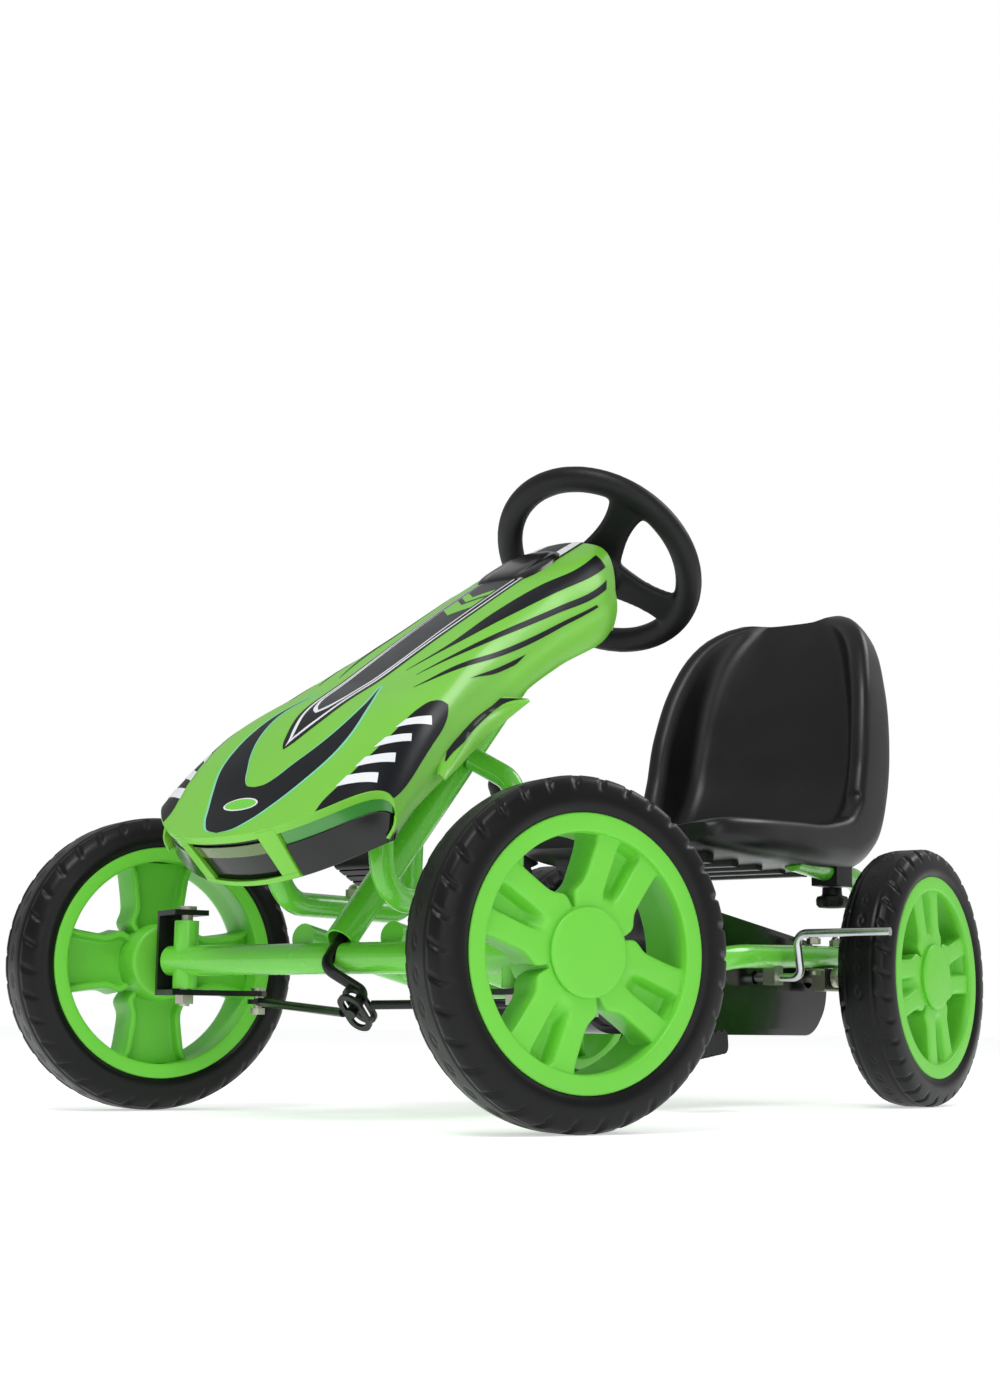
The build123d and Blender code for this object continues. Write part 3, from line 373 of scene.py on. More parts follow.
# Wheels, drawn about Y with the outer face on +Y.
wheelLook = {"radius": 140, "width": 60, "lugs": 34, "lugDepth": 1.7,
             "lugFrom": 0.58, "ribAt": 0.5, "ribDepth": 1.0, "innerRound": 7.0,
             "face": 110.0, "barrel": 100.5, "window": 95, "hubRadius": 37, "capRadius": 35.5,
             "capMiddle": 25.5, "rootHalf": 23, "tipHalf": 33, "spokeBack": -12, "setback": 4,
             "grooveHalf": (3.5, 8.5), "grooveDepth": 15,
             "rootReach": 20, "spokes": 4}
frontHeading = -23.2  # degrees, the front wheels at rest
wheelPlaces = {
    "front_left": dict(angle=63.0), "front_right": dict(angle=0.0),
    "rear_left": dict(angle=10.0), "rear_right": dict(angle=0.0),
}


def tyreProfile():
    # outer face bead, rounded sidewall, shoulder, tread and back, as (radius, y) in millimetres
    look = wheelLook
    half = look["width"] / 2
    corners = [(look["face"] - 0.6, half - 1.5), (look["face"] + 4, half + 1.2),
               (look["radius"] - 12, half + 0.8), (look["radius"] - 3.5, half - 3),
               (look["radius"], half - 10)]
    outer = alongPoints(corners, 22)
    tread = np.linspace((look["radius"], half - 11.5), (look["radius"], -half + 11.5), 26)
    inner = outer[::-1] * (1, -1)
    profile = np.concatenate([outer, tread, inner])
    fall = np.clip((-profile[:, 1] - 4) / (half - 4), 0, 1)**2 * look["innerRound"]
    profile[:, 0] -= fall * np.clip((profile[:, 0] - look["face"]) / 20, 0, 1)
    return profile


def tyrePoints():
    # revolve the profile; lug gaps and two ribs lower the radius near the tread and shoulder
    look = wheelLook
    profile = tyreProfile()
    count = look["lugs"] * 14
    angle = np.linspace(0, 2 * np.pi, count, endpoint=False)[:, None]
    radius, y = profile[:, 0][None], profile[:, 1][None]
    across = y / (look["width"] / 2)
    depthInBand = np.clip((radius - (look["radius"] - 13)) / 7, 0, 1)
    side = np.where(across > 0, 0.0, 0.5)
    turns = angle * look["lugs"] / (2 * np.pi) + side + 0.55 * np.abs(across)**1.5
    gap = np.abs(turns - np.floor(turns) - 0.5)
    notch = 1 - np.clip((gap - 0.06) / 0.07, 0, 1)
    notch = notch * np.clip((np.abs(across) - look["lugFrom"]) / 0.1, 0, 1) * depthInBand
    rib = 1 - np.clip((np.abs(np.abs(across) - look["ribAt"]) - 0.02) / 0.03, 0, 1)
    rib = rib * (radius > look["radius"] - 5)
    wave = 1 - np.clip((np.abs(across - 0.1 * np.sin(turns * 2 * np.pi)) - 0.02) / 0.03, 0, 1)
    wave = wave * (radius > look["radius"] - 2)
    drop = np.maximum(notch * look["lugDepth"], np.maximum(rib, wave * 0.6) * look["ribDepth"])
    squeeze = 1 - 0.05 * notch
    r = radius - drop
    return np.stack([r * np.cos(angle), y * squeeze, r * np.sin(angle)], -1)


def rimParts():
    # ring by revolving, and spokes as a grooved section carried from the hub to the ring
    look = wheelLook
    half = look["width"] / 2
    face, window, barrel = look["face"], look["window"], look["barrel"]
    ring = roundedLoop([(window, half), (face, half), (face, half - 5), (barrel, half - 7),
                        (barrel, -half + 7), (face, -half + 5), (face, -half),
                        (window + 1, -half), (window + 2.5, 0), (window - 1.5, half - 7)],
                       (2.2, 2.2, 1, 1, 1, 1, 2, 3, 5, 3))
    hub = look["hubRadius"]
    cup = roundedLoop([(12, -36), (hub - 2, -36), (hub, -20), (hub, half - 5), (hub - 4, half - 4),
                       (hub - 5, half - 10), (hub - 5, half - 12), (12, half - 12)],
                      (0.5, 4, 3, 2.5, 1.5, 1, 1, 0.5))
    loops = [(revolve(ring * mm, 120), 120, len(ring)), (revolve(cup * mm, 72), 72, len(cup))]
    along = np.linspace(0, 1, 26)
    root = look["rootReach"]
    reach = root + along * (window + 1 - root)
    width = look["rootHalf"] + along * (look["tipHalf"] - look["rootHalf"])
    width = width + 9 * np.exp(-(1 - along) / 0.06) + 6 * np.exp(-((reach - hub) / 9)**2)
    depth = np.clip(np.minimum((along - 0.26) / 0.3, (1 - along) / 0.1), 0, 1)
    depth = depth * depth * (3 - 2 * depth) * look["grooveDepth"]
    front = half - look["setback"]
    back = look["spokeBack"]
    sections = []
    grooves = np.interp(along, (0.2, 0.9), look["grooveHalf"])
    for w, d, g in zip(width, depth, grooves):
        outline = [(-w, front - 2), (-w + 3, front), (-g - 3, front), (-g + 1, front - d),
                   (g - 1, front - d), (g + 3, front), (w - 3, front), (w, front - 2),
                   (w - 2.5, back), (w - 8, back), (w - 10, back + 9), (-w + 10, back + 9),
                   (-w + 8, back), (-w + 2.5, back)]
        sections.append(roundedLoop(outline, (2, 2, 2.5, 2.5, 2.5, 2.5, 2, 2, 2, 2, 2, 2, 2, 2), 3))
    sections = np.array(sections)
    spokes = []
    for index in range(look["spokes"]):
        turn = 2 * np.pi * index / look["spokes"]
        along3 = np.stack([0 * reach, 0 * reach, reach], -1)[:, None]
        spoke = np.concatenate([sections, np.zeros(sections.shape[:2] + (1,))], -1) + along3
        x = spoke[..., 0] * np.cos(turn) + spoke[..., 2] * np.sin(turn)
        z = -spoke[..., 0] * np.sin(turn) + spoke[..., 2] * np.cos(turn)
        spokes.append(np.stack([x, spoke[..., 1], z], -1) * mm)
    return loops, spokes


def rimMesh():
    # every ring and spoke of the rim joined into one list of points and faces
    loops, spokes = rimParts()
    points, faces, start = [], [], 0
    for grid, rows, columns in loops:
        points.append(grid.reshape(-1, 3))
        faces += gridFaces(rows, columns, wrapRows=True, wrapColumns=True, start=start)
        start += rows * columns
    for grid in spokes:
        rows, columns = grid.shape[:2]
        points.append(grid.reshape(-1, 3))
        faces += tubeFaces(rows, columns, start=start)
        start += rows * columns
    return np.concatenate(points), faces


def capMesh():
    # shallow domed cap with a rounded rim, a step and a closed back
    look = wheelLook
    r, y = look["capRadius"], look["width"] / 2 - look["setback"]
    profile = [(0.01, y + 7.0), (10, y + 6.8), (22, y + 6.1), (r - 5, y + 5.2), (r - 3.2, y + 5.2),
               (r - 1.2, y + 4.6), (r, y + 3.2), (r, y + 0.2), (r - 4, y - 6), (0.01, y - 6)]
    return revolve(np.array(profile) * mm, 72)


def wheelTurn(name):
    # the axle's place and heading come from the box of the CAD hub cap
    end, side = name.split("_")
    low, high = (Vector(corner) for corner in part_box(f"{end}_hub_cap_{side}"))
    centre = (low + high) / 2
    heading = np.radians(frontHeading) if end == "front" else 0.0
    sign = sides[side]
    out = Vector((-np.sin(heading), np.cos(heading), 0)) * sign
    middle = centre - out * wheelLook["capMiddle"] * mm
    return middle, heading, sign


def placeWheel(points, name, spin=0.0):
    # spin about Y, mirror for the right hand side, turn to the heading, then move
    middle, heading, sign = wheelTurn(name)
    p = points.reshape(-1, 3)
    c, s = np.cos(np.radians(spin)), np.sin(np.radians(spin))
    x, y, z = p[:, 0] * c + p[:, 2] * s, p[:, 1] * sign, p[:, 2] * c - p[:, 0] * s
    ch, sh = np.cos(heading), np.sin(heading)
    return np.stack([x * ch - y * sh, x * sh + y * ch, z], -1) + np.array(middle)


def makeWheels():
    # one tyre, rim and cap, made once and placed at each of the four wheels
    tyre = tyrePoints() * mm
    tyreRows, tyreColumns = tyre.shape[:2]
    rim, rimFaces = rimMesh()
    cap = capMesh()
    bodies = {"front_left": "front_wheel_left", "front_right": "front_wheel_right",
              "rear_left": "rear_axle", "rear_right": "rear_wheel_right"}
    for name, values in wheelPlaces.items():
        end, side = name.split("_")
        body = bodies[name]
        title = end + side.title()
        addPiece(title + "Tyre", placeWheel(tyre, name),
                 gridFaces(tyreRows, tyreColumns, wrapRows=True, wrapColumns=True),
                 "tyreBlack", body, [f"{end}_tyre_{side}"], sharp=50)
        addPiece(title + "Rim", placeWheel(rim, name, values["angle"]), rimFaces,
                 "limeWheel", body, [f"{end}_rim_{side}"], sharp=40)
        addPiece(title + "Cap", placeWheel(cap, name), gridFaces(72, 10, wrapRows=True),
                 "limeWheel", body, [f"{end}_hub_cap_{side}"], sharp=40)


makeWheels()
print("stage: wheels")


# Hood.
hoodLook = {
    "x": (4, 32, 120, 235, 330, 400, 446, 489, 523),
    "crown": (588, 574, 525, 455, 394, 350, 308, 263, 231.5),
    "half": (66, 75, 77, 82, 103, 122, 131, 131, 131),
    "crease": (530, 512, 465, 398, 350, 300, 254, 209, 177),
    "skirtX": (4, 32, 120, 185, 235, 330, 400, 446),
    "skirt": (488, 472, 430, 392, 352, 300, 262, 232),
    "noseX": 521.0, "tailX": 2.0, "noseSweep": 75.0, "sweepPower": 2.4, "sweepFrom": 300.0,
    "wall": 2.6, "rows": 110, "columns": 65, "skirtRows": 7, "tuck": 0.05, "swell": 4.0,
    "noseLow": (474.0, 122.0, 196.0), "noseLowSweep": 34.0, "noseLowRise": 36.0,
}


def hoodValue(x, key, at="x"):
    # a hood measure at a place along it, by a smooth line through the stations
    return smoothLine(x, hoodLook[at], hoodLook[key])


def sectionDrop(u):
    # flat crown that turns steeply down near the edge: 0.25 u^2 + 0.75 (1 - sqrt(1 - u^8))
    u = np.clip(np.abs(u), 0, 1)
    return 0.25 * u**2 + 0.75 * (1 - np.sqrt(np.maximum(0, 1 - u**8)))


def hoodHeight(x, y):
    # crown height less the crown-to-crease drop at the share of the half width
    crown, crease = hoodValue(x, "crown"), hoodValue(x, "crease")
    return crown - (crown - crease) * sectionDrop(y / hoodValue(x, "half"))


def hoodEdge(x):
    # how far the nose's sweep has set in at a centre place x, from 0 to 1
    start, end = hoodLook["sweepFrom"], hoodLook["noseX"]
    s = np.clip((x - start) / (end - start), 0, 1)
    return s * s * (3 - 2 * s) * hoodLook["noseSweep"]


def hoodTop(centre, t):
    # x falls back towards the edge by the sweep, y is the share t of the half width
    x = centre - hoodEdge(centre) * np.abs(t)**hoodLook["sweepPower"]
    y = t * hoodValue(x, "half")
    return np.stack([x, y, hoodHeight(x, y)], -1)


def noseLow(t):
    # lower front edge of the nose, a bow that rises to both corners
    x0, half, z0 = hoodLook["noseLow"]
    x = x0 - hoodLook["noseLowSweep"] * np.abs(t)**hoodLook["sweepPower"]
    return np.stack([x, half * t, z0 + hoodLook["noseLowRise"] * t**2], -1)


def noseFace(t, k):
    # straight from the nose's lip at k = 0 down and back to the lower edge at k = 1
    centre = np.full_like(t, hoodLook["noseX"])
    top = hoodTop(centre, t)
    return top + (noseLow(t) - top) * np.asarray(k)[..., None]


def makeHoodShell():
    # top as a grid of centre place and share, flanks hung from its edges, and a short lip
    look = hoodLook
    rows, columns = look["rows"], look["columns"]
    centre = np.linspace(look["tailX"], look["noseX"], rows)
    t = np.sin(np.linspace(-1, 1, columns) * np.pi / 2)
    c, s = np.meshgrid(centre, t, indexing="ij")
    top = hoodTop(c, s)
    points = [top.reshape(-1, 3)]
    faces = gridFaces(rows, columns)
    start = rows * columns
    down = np.linspace(0, 1, look["skirtRows"])
    for sign, column in ((-1, 0), (1, columns - 1)):
        edge = top[:, column]
        low = edge.copy()
        low[:, 1] = edge[:, 1] * (1 - look["tuck"])
        low[:, 2] = hoodValue(edge[:, 0], "skirt", "skirtX")
        side = edge[None] + (low - edge)[None] * down[:, None, None]
        side[..., 1] += sign * look["swell"] * np.sin(down * np.pi)[:, None]
        points.append(side.reshape(-1, 3))
        faces += gridFaces(look["skirtRows"], rows, start=start)
        start += look["skirtRows"] * rows
    lip = np.array((0, 0.07, 0.14))
    lt, lk = np.meshgrid(t, lip, indexing="ij")
    nose = noseFace(lt, lk)
    points.append(nose.reshape(-1, 3))
    faces += gridFaces(columns, len(lip), start=start)
    shell = addPiece("hoodShell", np.concatenate(points) * mm, faces, "limePlastic", "frame",
                     ["hood_shell"], sharp=32)
    flipOutwards(shell)
    addModifier(shell, "SOLIDIFY", thickness=look["wall"] * mm, offset=-1)
    addModifier(shell, "BEVEL", width=0.0012, segments=2, limit_method="ANGLE",
                angle_limit=np.radians(38), harden_normals=False)


def flipOutwards(piece, away=Vector((0.25, 0, 0.38))):
    # an open sheet whose first face looks back at the inside is turned over
    mesh = piece.data
    score = sum((face.center - away).dot(face.normal) * face.area for face in mesh.polygons)
    if score < 0:
        mesh.flip_normals()


makeHoodShell()
print("stage: hood shell")


# Nose.
# the lens and grille ranges mark the bands under the lip whose darker green is painted shade
noseLook = {"band": (0.02, 0.97), "bandInset": 6.0, "postFrom": 40, "postTo": 56,
            "grille": (0.2, 0.42), "grilleInset": 3.0, "sill": (0.9, 1.0),
            "lens": (0.03, 0.36), "facetShadeInset": 2.5, "blade": (0.37, 1.0), "out": 0.985}


def nosePatch(name, tFrom, tTo, kFrom, kTo, inset, finish, slot, count=40, thick=3.0, deep=6):
    # a patch of the nose's front face, set back along X and closed as a thin wall
    t, k = np.meshgrid(np.linspace(tFrom, tTo, count), np.linspace(kFrom, kTo, deep), indexing="ij")
    front = noseFace(t, k) - np.array((inset, 0, 0))
    back = front - np.array((thick, 0, -thick * 0.4))
    points = np.concatenate([front.reshape(-1, 3), back.reshape(-1, 3)])
    faces = slabFaces(count, deep)
    piece = addPiece(name, points * mm, faces, finish, "frame", sharp=30)
    addModifier(piece, "BEVEL", width=0.0008, segments=2, limit_method="ANGLE",
                angle_limit=np.radians(40))
    return piece


def makeNose():
    # band, centre patch, sill, and on each side a post, a facet and a blade; the centre patch and
    # the facets are darker green as painted shade under the lip
    look = noseLook
    post, edge = look["postFrom"] / 131, look["postTo"] / 131
    nosePatch("noseBand", -0.995, 0.995, *look["band"], look["bandInset"], "glossBlack",
              "black_gloss", count=64)
    # centre patch in dark olive: painted shade under the nose's lip
    nosePatch("noseGrilleShade", -post, post, *look["grille"], look["grilleInset"], "limeGrillePaintedShade",
              "black_gloss")
    nosePatch("noseSill", -edge, edge, *look["sill"], -1.0, "limePlastic", "hood_plastic",
              thick=12)
    for name, sign in sides.items():
        tag = name.title()
        nosePatch(f"nosePost{tag}", sign * post, sign * edge, 0.03, 1.0, -0.5, "limePlastic",
                  "hood_plastic", count=6, thick=12)
        # green facet drawn darker: painted shade under the nose's lip
        nosePatch(f"noseFacetShade{tag}", sign * (edge + 0.01), sign * look["out"], *look["lens"],
                  look["facetShadeInset"], "limeFacetPaintedShade", "black_gloss")
        nosePatch(f"noseBlade{tag}", sign * (edge + 0.01), sign * look["out"], *look["blade"],
                  0.5, "glossBlack", "black_gloss", thick=8)


makeNose()
print("stage: nose")


# Decals on the hood, in x and the share of the way from crown to crease.
sectionShares = np.linspace(0, 1, 2001)
sectionRun = np.concatenate([[0], np.cumsum(np.hypot(np.diff(sectionShares) * 85,
                                                     np.diff(sectionDrop(sectionShares)) * 58))])
sectionRun /= sectionRun[-1]


def hoodShare(x, share):
    # the arc-length share from crown to crease turned into a place on the hood
    u = np.interp(np.abs(share), sectionRun, sectionShares) * np.sign(share)
    y = u * hoodValue(x, "half")
    return np.stack([x, y, hoodHeight(x, y)], -1)


def lipLimit(share):
    # how far forwards a film may reach before it would hang over the nose's lip
    u = np.interp(np.abs(share), sectionRun, sectionShares)
    return hoodLook["noseX"] - hoodLook["noseSweep"] * u**hoodLook["sweepPower"] - 1.0


def hoodNormal(x, share):
    # cross product of the surface's two directions by central differences
    step = 0.8
    along = hoodShare(x + step, share) - hoodShare(x - step, share)
    across = hoodShare(x, share + 0.004) - hoodShare(x, share - 0.004)
    normal = np.cross(along, across)
    return normal / np.linalg.norm(normal, axis=-1, keepdims=True)


def addDecal(name, edgeA, edgeB, finish, side=1, lift=0.35, along=60, across=7):
    # film between two edges, each a smooth line through a few (x, share) points, raised along
    # the hood's normal by the lift; the far side mirrors the share
    a, b = alongDecal(edgeA, along), alongDecal(edgeB, along)
    k = np.linspace(0, 1, across)[None, :, None]
    flat = a[:, None] * (1 - k) + b[:, None] * k
    x, share = flat[..., 0], np.clip(flat[..., 1], -1, 1) * side
    x = np.minimum(x, lipLimit(share))
    low = hoodShare(x, share)
    normal = hoodNormal(x, share)
    normal = normal * np.sign(normal[..., 2:3] + 1e-9)
    points = np.stack([low + normal * (lift - 0.3), low + normal * lift])
    return addPiece(name, points.reshape(-1, 3) * mm, slabFaces(along, across), finish, "frame",
                    sharp=45)


def alongDecal(edge, count):
    # the share is stretched to millimetres while the points are spaced out evenly
    stretch = np.array((1.0, 110.0))
    return alongPoints(np.asarray(edge, float) * stretch, count) / stretch


lampUpper = [(338, 0.83), (345, 0.75), (358, 0.68), (378, 0.64), (412, 0.60), (444, 0.54),
             (466, 0.50), (485, 0.465), (497, 0.47)]
lampLower = [(338, 0.83), (344, 0.92), (358, 0.98), (378, 0.99), (400, 0.985), (422, 0.96),
             (444, 0.90), (465, 0.79), (484, 0.64), (497, 0.47)]
lampBars = [((396, 0.62), (370, 0.77), (409, 0.59), (375, 0.83)),
            ((421, 0.57), (403, 0.72), (433, 0.54), (408, 0.75)),
            ((443, 0.53), (427, 0.69), (453, 0.51), (433, 0.72)),
            ((461, 0.50), (449, 0.66), (471, 0.48), (455, 0.69))]
flameOuter = [(350, 0.24), (388, 0.32), (424, 0.35), (451, 0.32), (471, 0.26), (489, 0.195),
              (505, 0.13), (514, 0.07), (517, 0.0)]
flameInner = [(350, 0.24), (388, 0.285), (420, 0.25), (441, 0.19), (455, 0.135), (466, 0.09),
              (471.5, 0.05), (473, 0.0)]
tongueOuter = [(438, 0.0), (432, 0.03), (424, 0.053), (403, 0.105), (360, 0.15), (300, 0.19),
               (200, 0.255), (100, 0.265), (40, 0.27)]
tongueInner = [(392, 0.0), (387, 0.03), (378, 0.058), (350, 0.09), (325, 0.11), (260, 0.145),
               (200, 0.165), (100, 0.175), (40, 0.175)]
claws = [
    ([(318, 0.28), (266, 0.39), (195, 0.44), (124, 0.51), (80, 0.575), (28, 0.57)],
     [(318, 0.28), (292, 0.355), (257, 0.455), (193, 0.575), (119, 0.665), (63, 0.715),
      (24, 0.73)]),
    ([(326, 0.40), (271, 0.54), (201, 0.67), (126, 0.78), (70, 0.83), (30, 0.83)],
     [(326, 0.40), (275, 0.565), (205, 0.71), (128, 0.83), (76, 0.885), (34, 0.895)]),
    ([(349, 0.48), (308, 0.58), (236, 0.76), (158, 0.885), (104, 0.935), (58, 0.955)],
     [(349, 0.48), (312, 0.605), (238, 0.80), (159, 0.93), (108, 0.97), (54, 0.985)]),
    ([(287, 0.80), (230, 0.90), (183, 0.965)], [(287, 0.80), (241, 0.92), (200, 0.985)]),
]


def makeDecals():
    # each film twice, mirrored, thin lines laid over or under the dark shapes
    for name, side in sides.items():
        tag = name.title()
        addDecal(f"lampFilm{tag}", lampUpper, lampLower, "decalBlack", side, across=15, along=90)
        for index, (a0, a1, b0, b1) in enumerate(lampBars):
            addDecal(f"lampBar{index + 1}{tag}", [a0, a1], [b0, b1], "decalWhite", side,
                     lift=0.65, along=12, across=5)
        rim = [(x, share + (0.014 if 0 < share else 0)) for x, share in flameOuter]
        addDecal(f"flameEdge{tag}", rim, flameOuter, "decalTeal", side, lift=0.3, across=3)
        rim = [(x + 1.5, max(share - 0.012, 0)) for x, share in flameInner]
        addDecal(f"flameInnerEdge{tag}", flameInner, rim, "decalTeal", side, lift=0.3, across=3)
        addDecal(f"flame{tag}", flameOuter, flameInner, "decalBlack", side, across=9, along=80)
        middle = [(x, 0.0) for x, share in tongueOuter]
        addDecal(f"tongue{tag}", tongueOuter, middle, "decalBlack", side, across=9, along=90)
        line = [(x - 3, max(share - 0.022, 0)) for x, share in tongueOuter]
        thin = [(x - 4.5, max(share - 0.036, 0)) for x, share in tongueOuter]
        addDecal(f"tongueLine{tag}", line, thin, "decalWhite", side, lift=0.65, across=3, along=90)
        middle = [(x, 0.0) for x, share in tongueInner]
        addDecal(f"tongueCore{tag}", tongueInner, middle, "carbonFilm", side, lift=0.95,
                 across=6, along=80)
        rim = [(x + 4, share + 0.012) if share > 0 else (x + 4, 0) for x, share in tongueInner]
        addDecal(f"tongueCoreLine{tag}", rim, tongueInner, "decalWhite", side, lift=0.8,
                 across=3, along=90)
        for index, (upper, lower) in enumerate(claws):
            addDecal(f"claw{index + 1}{tag}", upper, lower, "decalBlack", side, along=70)


makeDecals()
print("stage: hood decals")


# Trim on the hood.
trimLook = {"coverX": (44.0, 122.0), "coverHalf": 35.0, "coverRise": 7.0,
            "flashX": (2.0, 62.0), "flashShare": (0.17, 0.28), "panelX": (2.0, 60.0),
            "chevronX": 204.0, "chevronLong": 46.0, "chevronShare": 0.15,
            "ovalX": 489.0, "ovalLong": 6.0, "ovalWide": 0.1}


def makeCover():
    # rounded-rectangle dome over the hood: height falls off with the fourth power to its rim
    look = trimLook
    rows, columns = 44, 40
    u, v = np.meshgrid(np.linspace(-1, 1, rows), np.linspace(-1, 1, columns), indexing="ij")
    low, high = look["coverX"]
    corner = 1 - 0.18 * np.abs(u)**3
    x = (low + high) / 2 + u * (high - low) / 2 * (1 - 0.12 * np.abs(v)**3)
    y = v * look["coverHalf"] * corner
    rise = look["coverRise"] * (1 - u**6) ** 0.5 * (1 - v**6) ** 0.5
    ridge = 1.6 * np.exp(-((np.abs(v) - 0.62) / 0.1)**2) * (1 - u**4)
    z = hoodHeight(x, y) + rise - ridge - 0.4
    top = np.stack([x, y, z], -1)
    under = np.stack([x, y, hoodHeight(x, y) - 1.2], -1)
    points = np.concatenate([top.reshape(-1, 3), under.reshape(-1, 3)])
    addPiece("hoodCover", points * mm, slabFaces(rows, columns), "glossBlack", "frame",
             ["hood_scoop"], sharp=50)


def makeTrim():
    # rear panel, white flashes, chevron and oval, each in two mirrored halves
    look = trimLook
    for name, side in sides.items():
        tag = name.title()
        low, high = look["panelX"]
        addDecal(f"rearPanel{tag}", [(low, 0.0), (high, 0.0)], [(low, 0.3), (high, 0.3)],
                 "decalBlack", side, lift=0.9, along=16)
        low, high = look["flashX"]
        near, far = look["flashShare"]
        addDecal(f"rearFlash{tag}", [(low, near), (high, near)], [(low, far), (high, far)],
                 "decalWhite", side, lift=1.2, along=16, across=4)
        x, long, share = look["chevronX"], look["chevronLong"], look["chevronShare"]
        addDecal(f"chevron{tag}", [(x, 0.0), (x - 16, share)],
                 [(x - long * 0.5, 0.0), (x - long * 0.5 - 16, share)], "limePlastic", side,
                 lift=1.2, along=12, across=5)
        addDecal(f"chevronTail{tag}", [(x - long * 0.65, 0.0), (x - long * 0.65 - 16, share)],
                 [(x - long * 0.9, 0.0), (x - long * 0.9 - 16, share)], "limePlastic", side,
                 lift=1.2, along=12, across=4)
        angle = np.linspace(0, np.pi, 13)
        oval = [(look["ovalX"] + look["ovalLong"] * np.cos(a), look["ovalWide"] * np.sin(a))
                for a in angle]
        middle = [(x, 0.0) for x, share in oval]
        addDecal(f"ovalRim{tag}", oval, middle, "decalWhite", side, lift=0.7, along=40, across=4)
        oval = [(look["ovalX"] + (x - look["ovalX"]) * 0.82, share * 0.9) for x, share in oval]
        middle = [(x, 0.0) for x, share in oval]
        addDecal(f"oval{tag}", oval, middle, "limeWheel", side, lift=0.95, along=40, across=4)


# Side wings.
wingLook = {"line": [(373, 291), (335, 318), (288, 349), (243, 370), (203, 384)],
            "half": [3, 11, 16, 14, 1.5], "foot": [124, 106, 88, 82, 96], "bulge": 9.0,
            "lean": 9.0, "wall": 3.0,
            "filmTop": 0.72, "filmDepth": 0.78, "filmRows": 7}


def makeWings():
    # a leaf: bowed lines across a curved centre line, standing out from the hood's flank
    look = wingLook
    along, across = 44, 17
    s = np.linspace(0, 1, along)
    knots = np.linspace(0, 1, 5)
    line = smoothLine(s, knots, look["line"])
    half = np.maximum(smoothLine(s, knots, look["half"]), 1.2)
    foot = smoothLine(s, knots, look["foot"])
    way = np.gradient(line, axis=0)
    way /= np.linalg.norm(way, axis=1, keepdims=True)
    side = np.stack([-way[:, 1], way[:, 0]], -1)
    side *= np.sign(side[:, 1:2])
    k = np.linspace(-1, 1, across)[None]
    x = line[:, 0:1] + side[:, 0:1] * half[:, None] * k
    z = line[:, 1:2] + side[:, 1:2] * half[:, None] * k
    ridge = 2.2 * np.exp(-((k - 0.15) / 0.12)**2) * np.sin(np.pi * s)[:, None]
    y = foot[:, None] + look["bulge"] * (1 - k**2) * np.sin(np.pi * s)[:, None] ** 0.7
    y = y - look["lean"] * k * half[:, None] / max(look["half"]) + ridge
    outer = np.stack([x, y, z], -1)
    inner = outer - np.array((0, look["wall"], 0))
    faces = slabFaces(along, across)
    points = np.concatenate([outer.reshape(-1, 3), inner.reshape(-1, 3)])
    film = outer + np.array((0, 0.5, 0.3))
    first, last = int(along * 0.12), along - 1
    share = np.sin(np.pi * np.linspace(0.04, 0.98, last - first))[:, None]
    filmRows = look["filmRows"]
    edge = np.linspace(0, 1, filmRows)[None]
    crescent = look["filmTop"] - look["filmDepth"] * share * edge
    rows = np.arange(first, last)
    bent = np.stack([np.stack([np.interp(crescent[i], k[0], film[row, :, axis])
                               for axis in range(3)], -1) for i, row in enumerate(rows)])
    back = bent - np.array((0, 0.4, 0))
    filmPoints = np.concatenate([bent.reshape(-1, 3), back.reshape(-1, 3)])
    count = len(rows)
    filmFaces = slabFaces(count, filmRows)
    for name, sign in sides.items():
        flip = np.array((1, sign, 1))
        addPiece(f"wing{name.title()}", points * flip * mm, faces, "limePlastic", "frame",
                 [f"hood_wing_{name}"], sharp=40)
        addPiece(f"wingFilm{name.title()}", filmPoints * flip * mm, filmFaces, "decalBlack",
                 "frame", sharp=40)


makeCover()
makeTrim()
makeWings()
print("stage: hood trim and wings")


# Seat.
seatLook = {
    "path": [(-98, 272), (-150, 266), (-240, 263), (-340, 262), (-408, 268), (-462, 300),
             (-494, 358), (-508, 425), (-518, 490), (-532, 550), (-545, 588)],
    "half": [132, 146, 151, 152, 152, 152, 151, 149, 140, 118, 84],
    "wall": [30, 38, 45, 53, 66, 78, 84, 82, 70, 50, 30],
    "floor": [26, 30, 32, 33, 36, 38, 32, 28, 26, 24, 20],
    "lip": 24.0, "rounds": 26.0, "endRound": 0.045, "stations": 76,
    "ribs": 5, "ribStart": -140.0, "ribStep": 56.0, "ribHalf": 96.0,
}


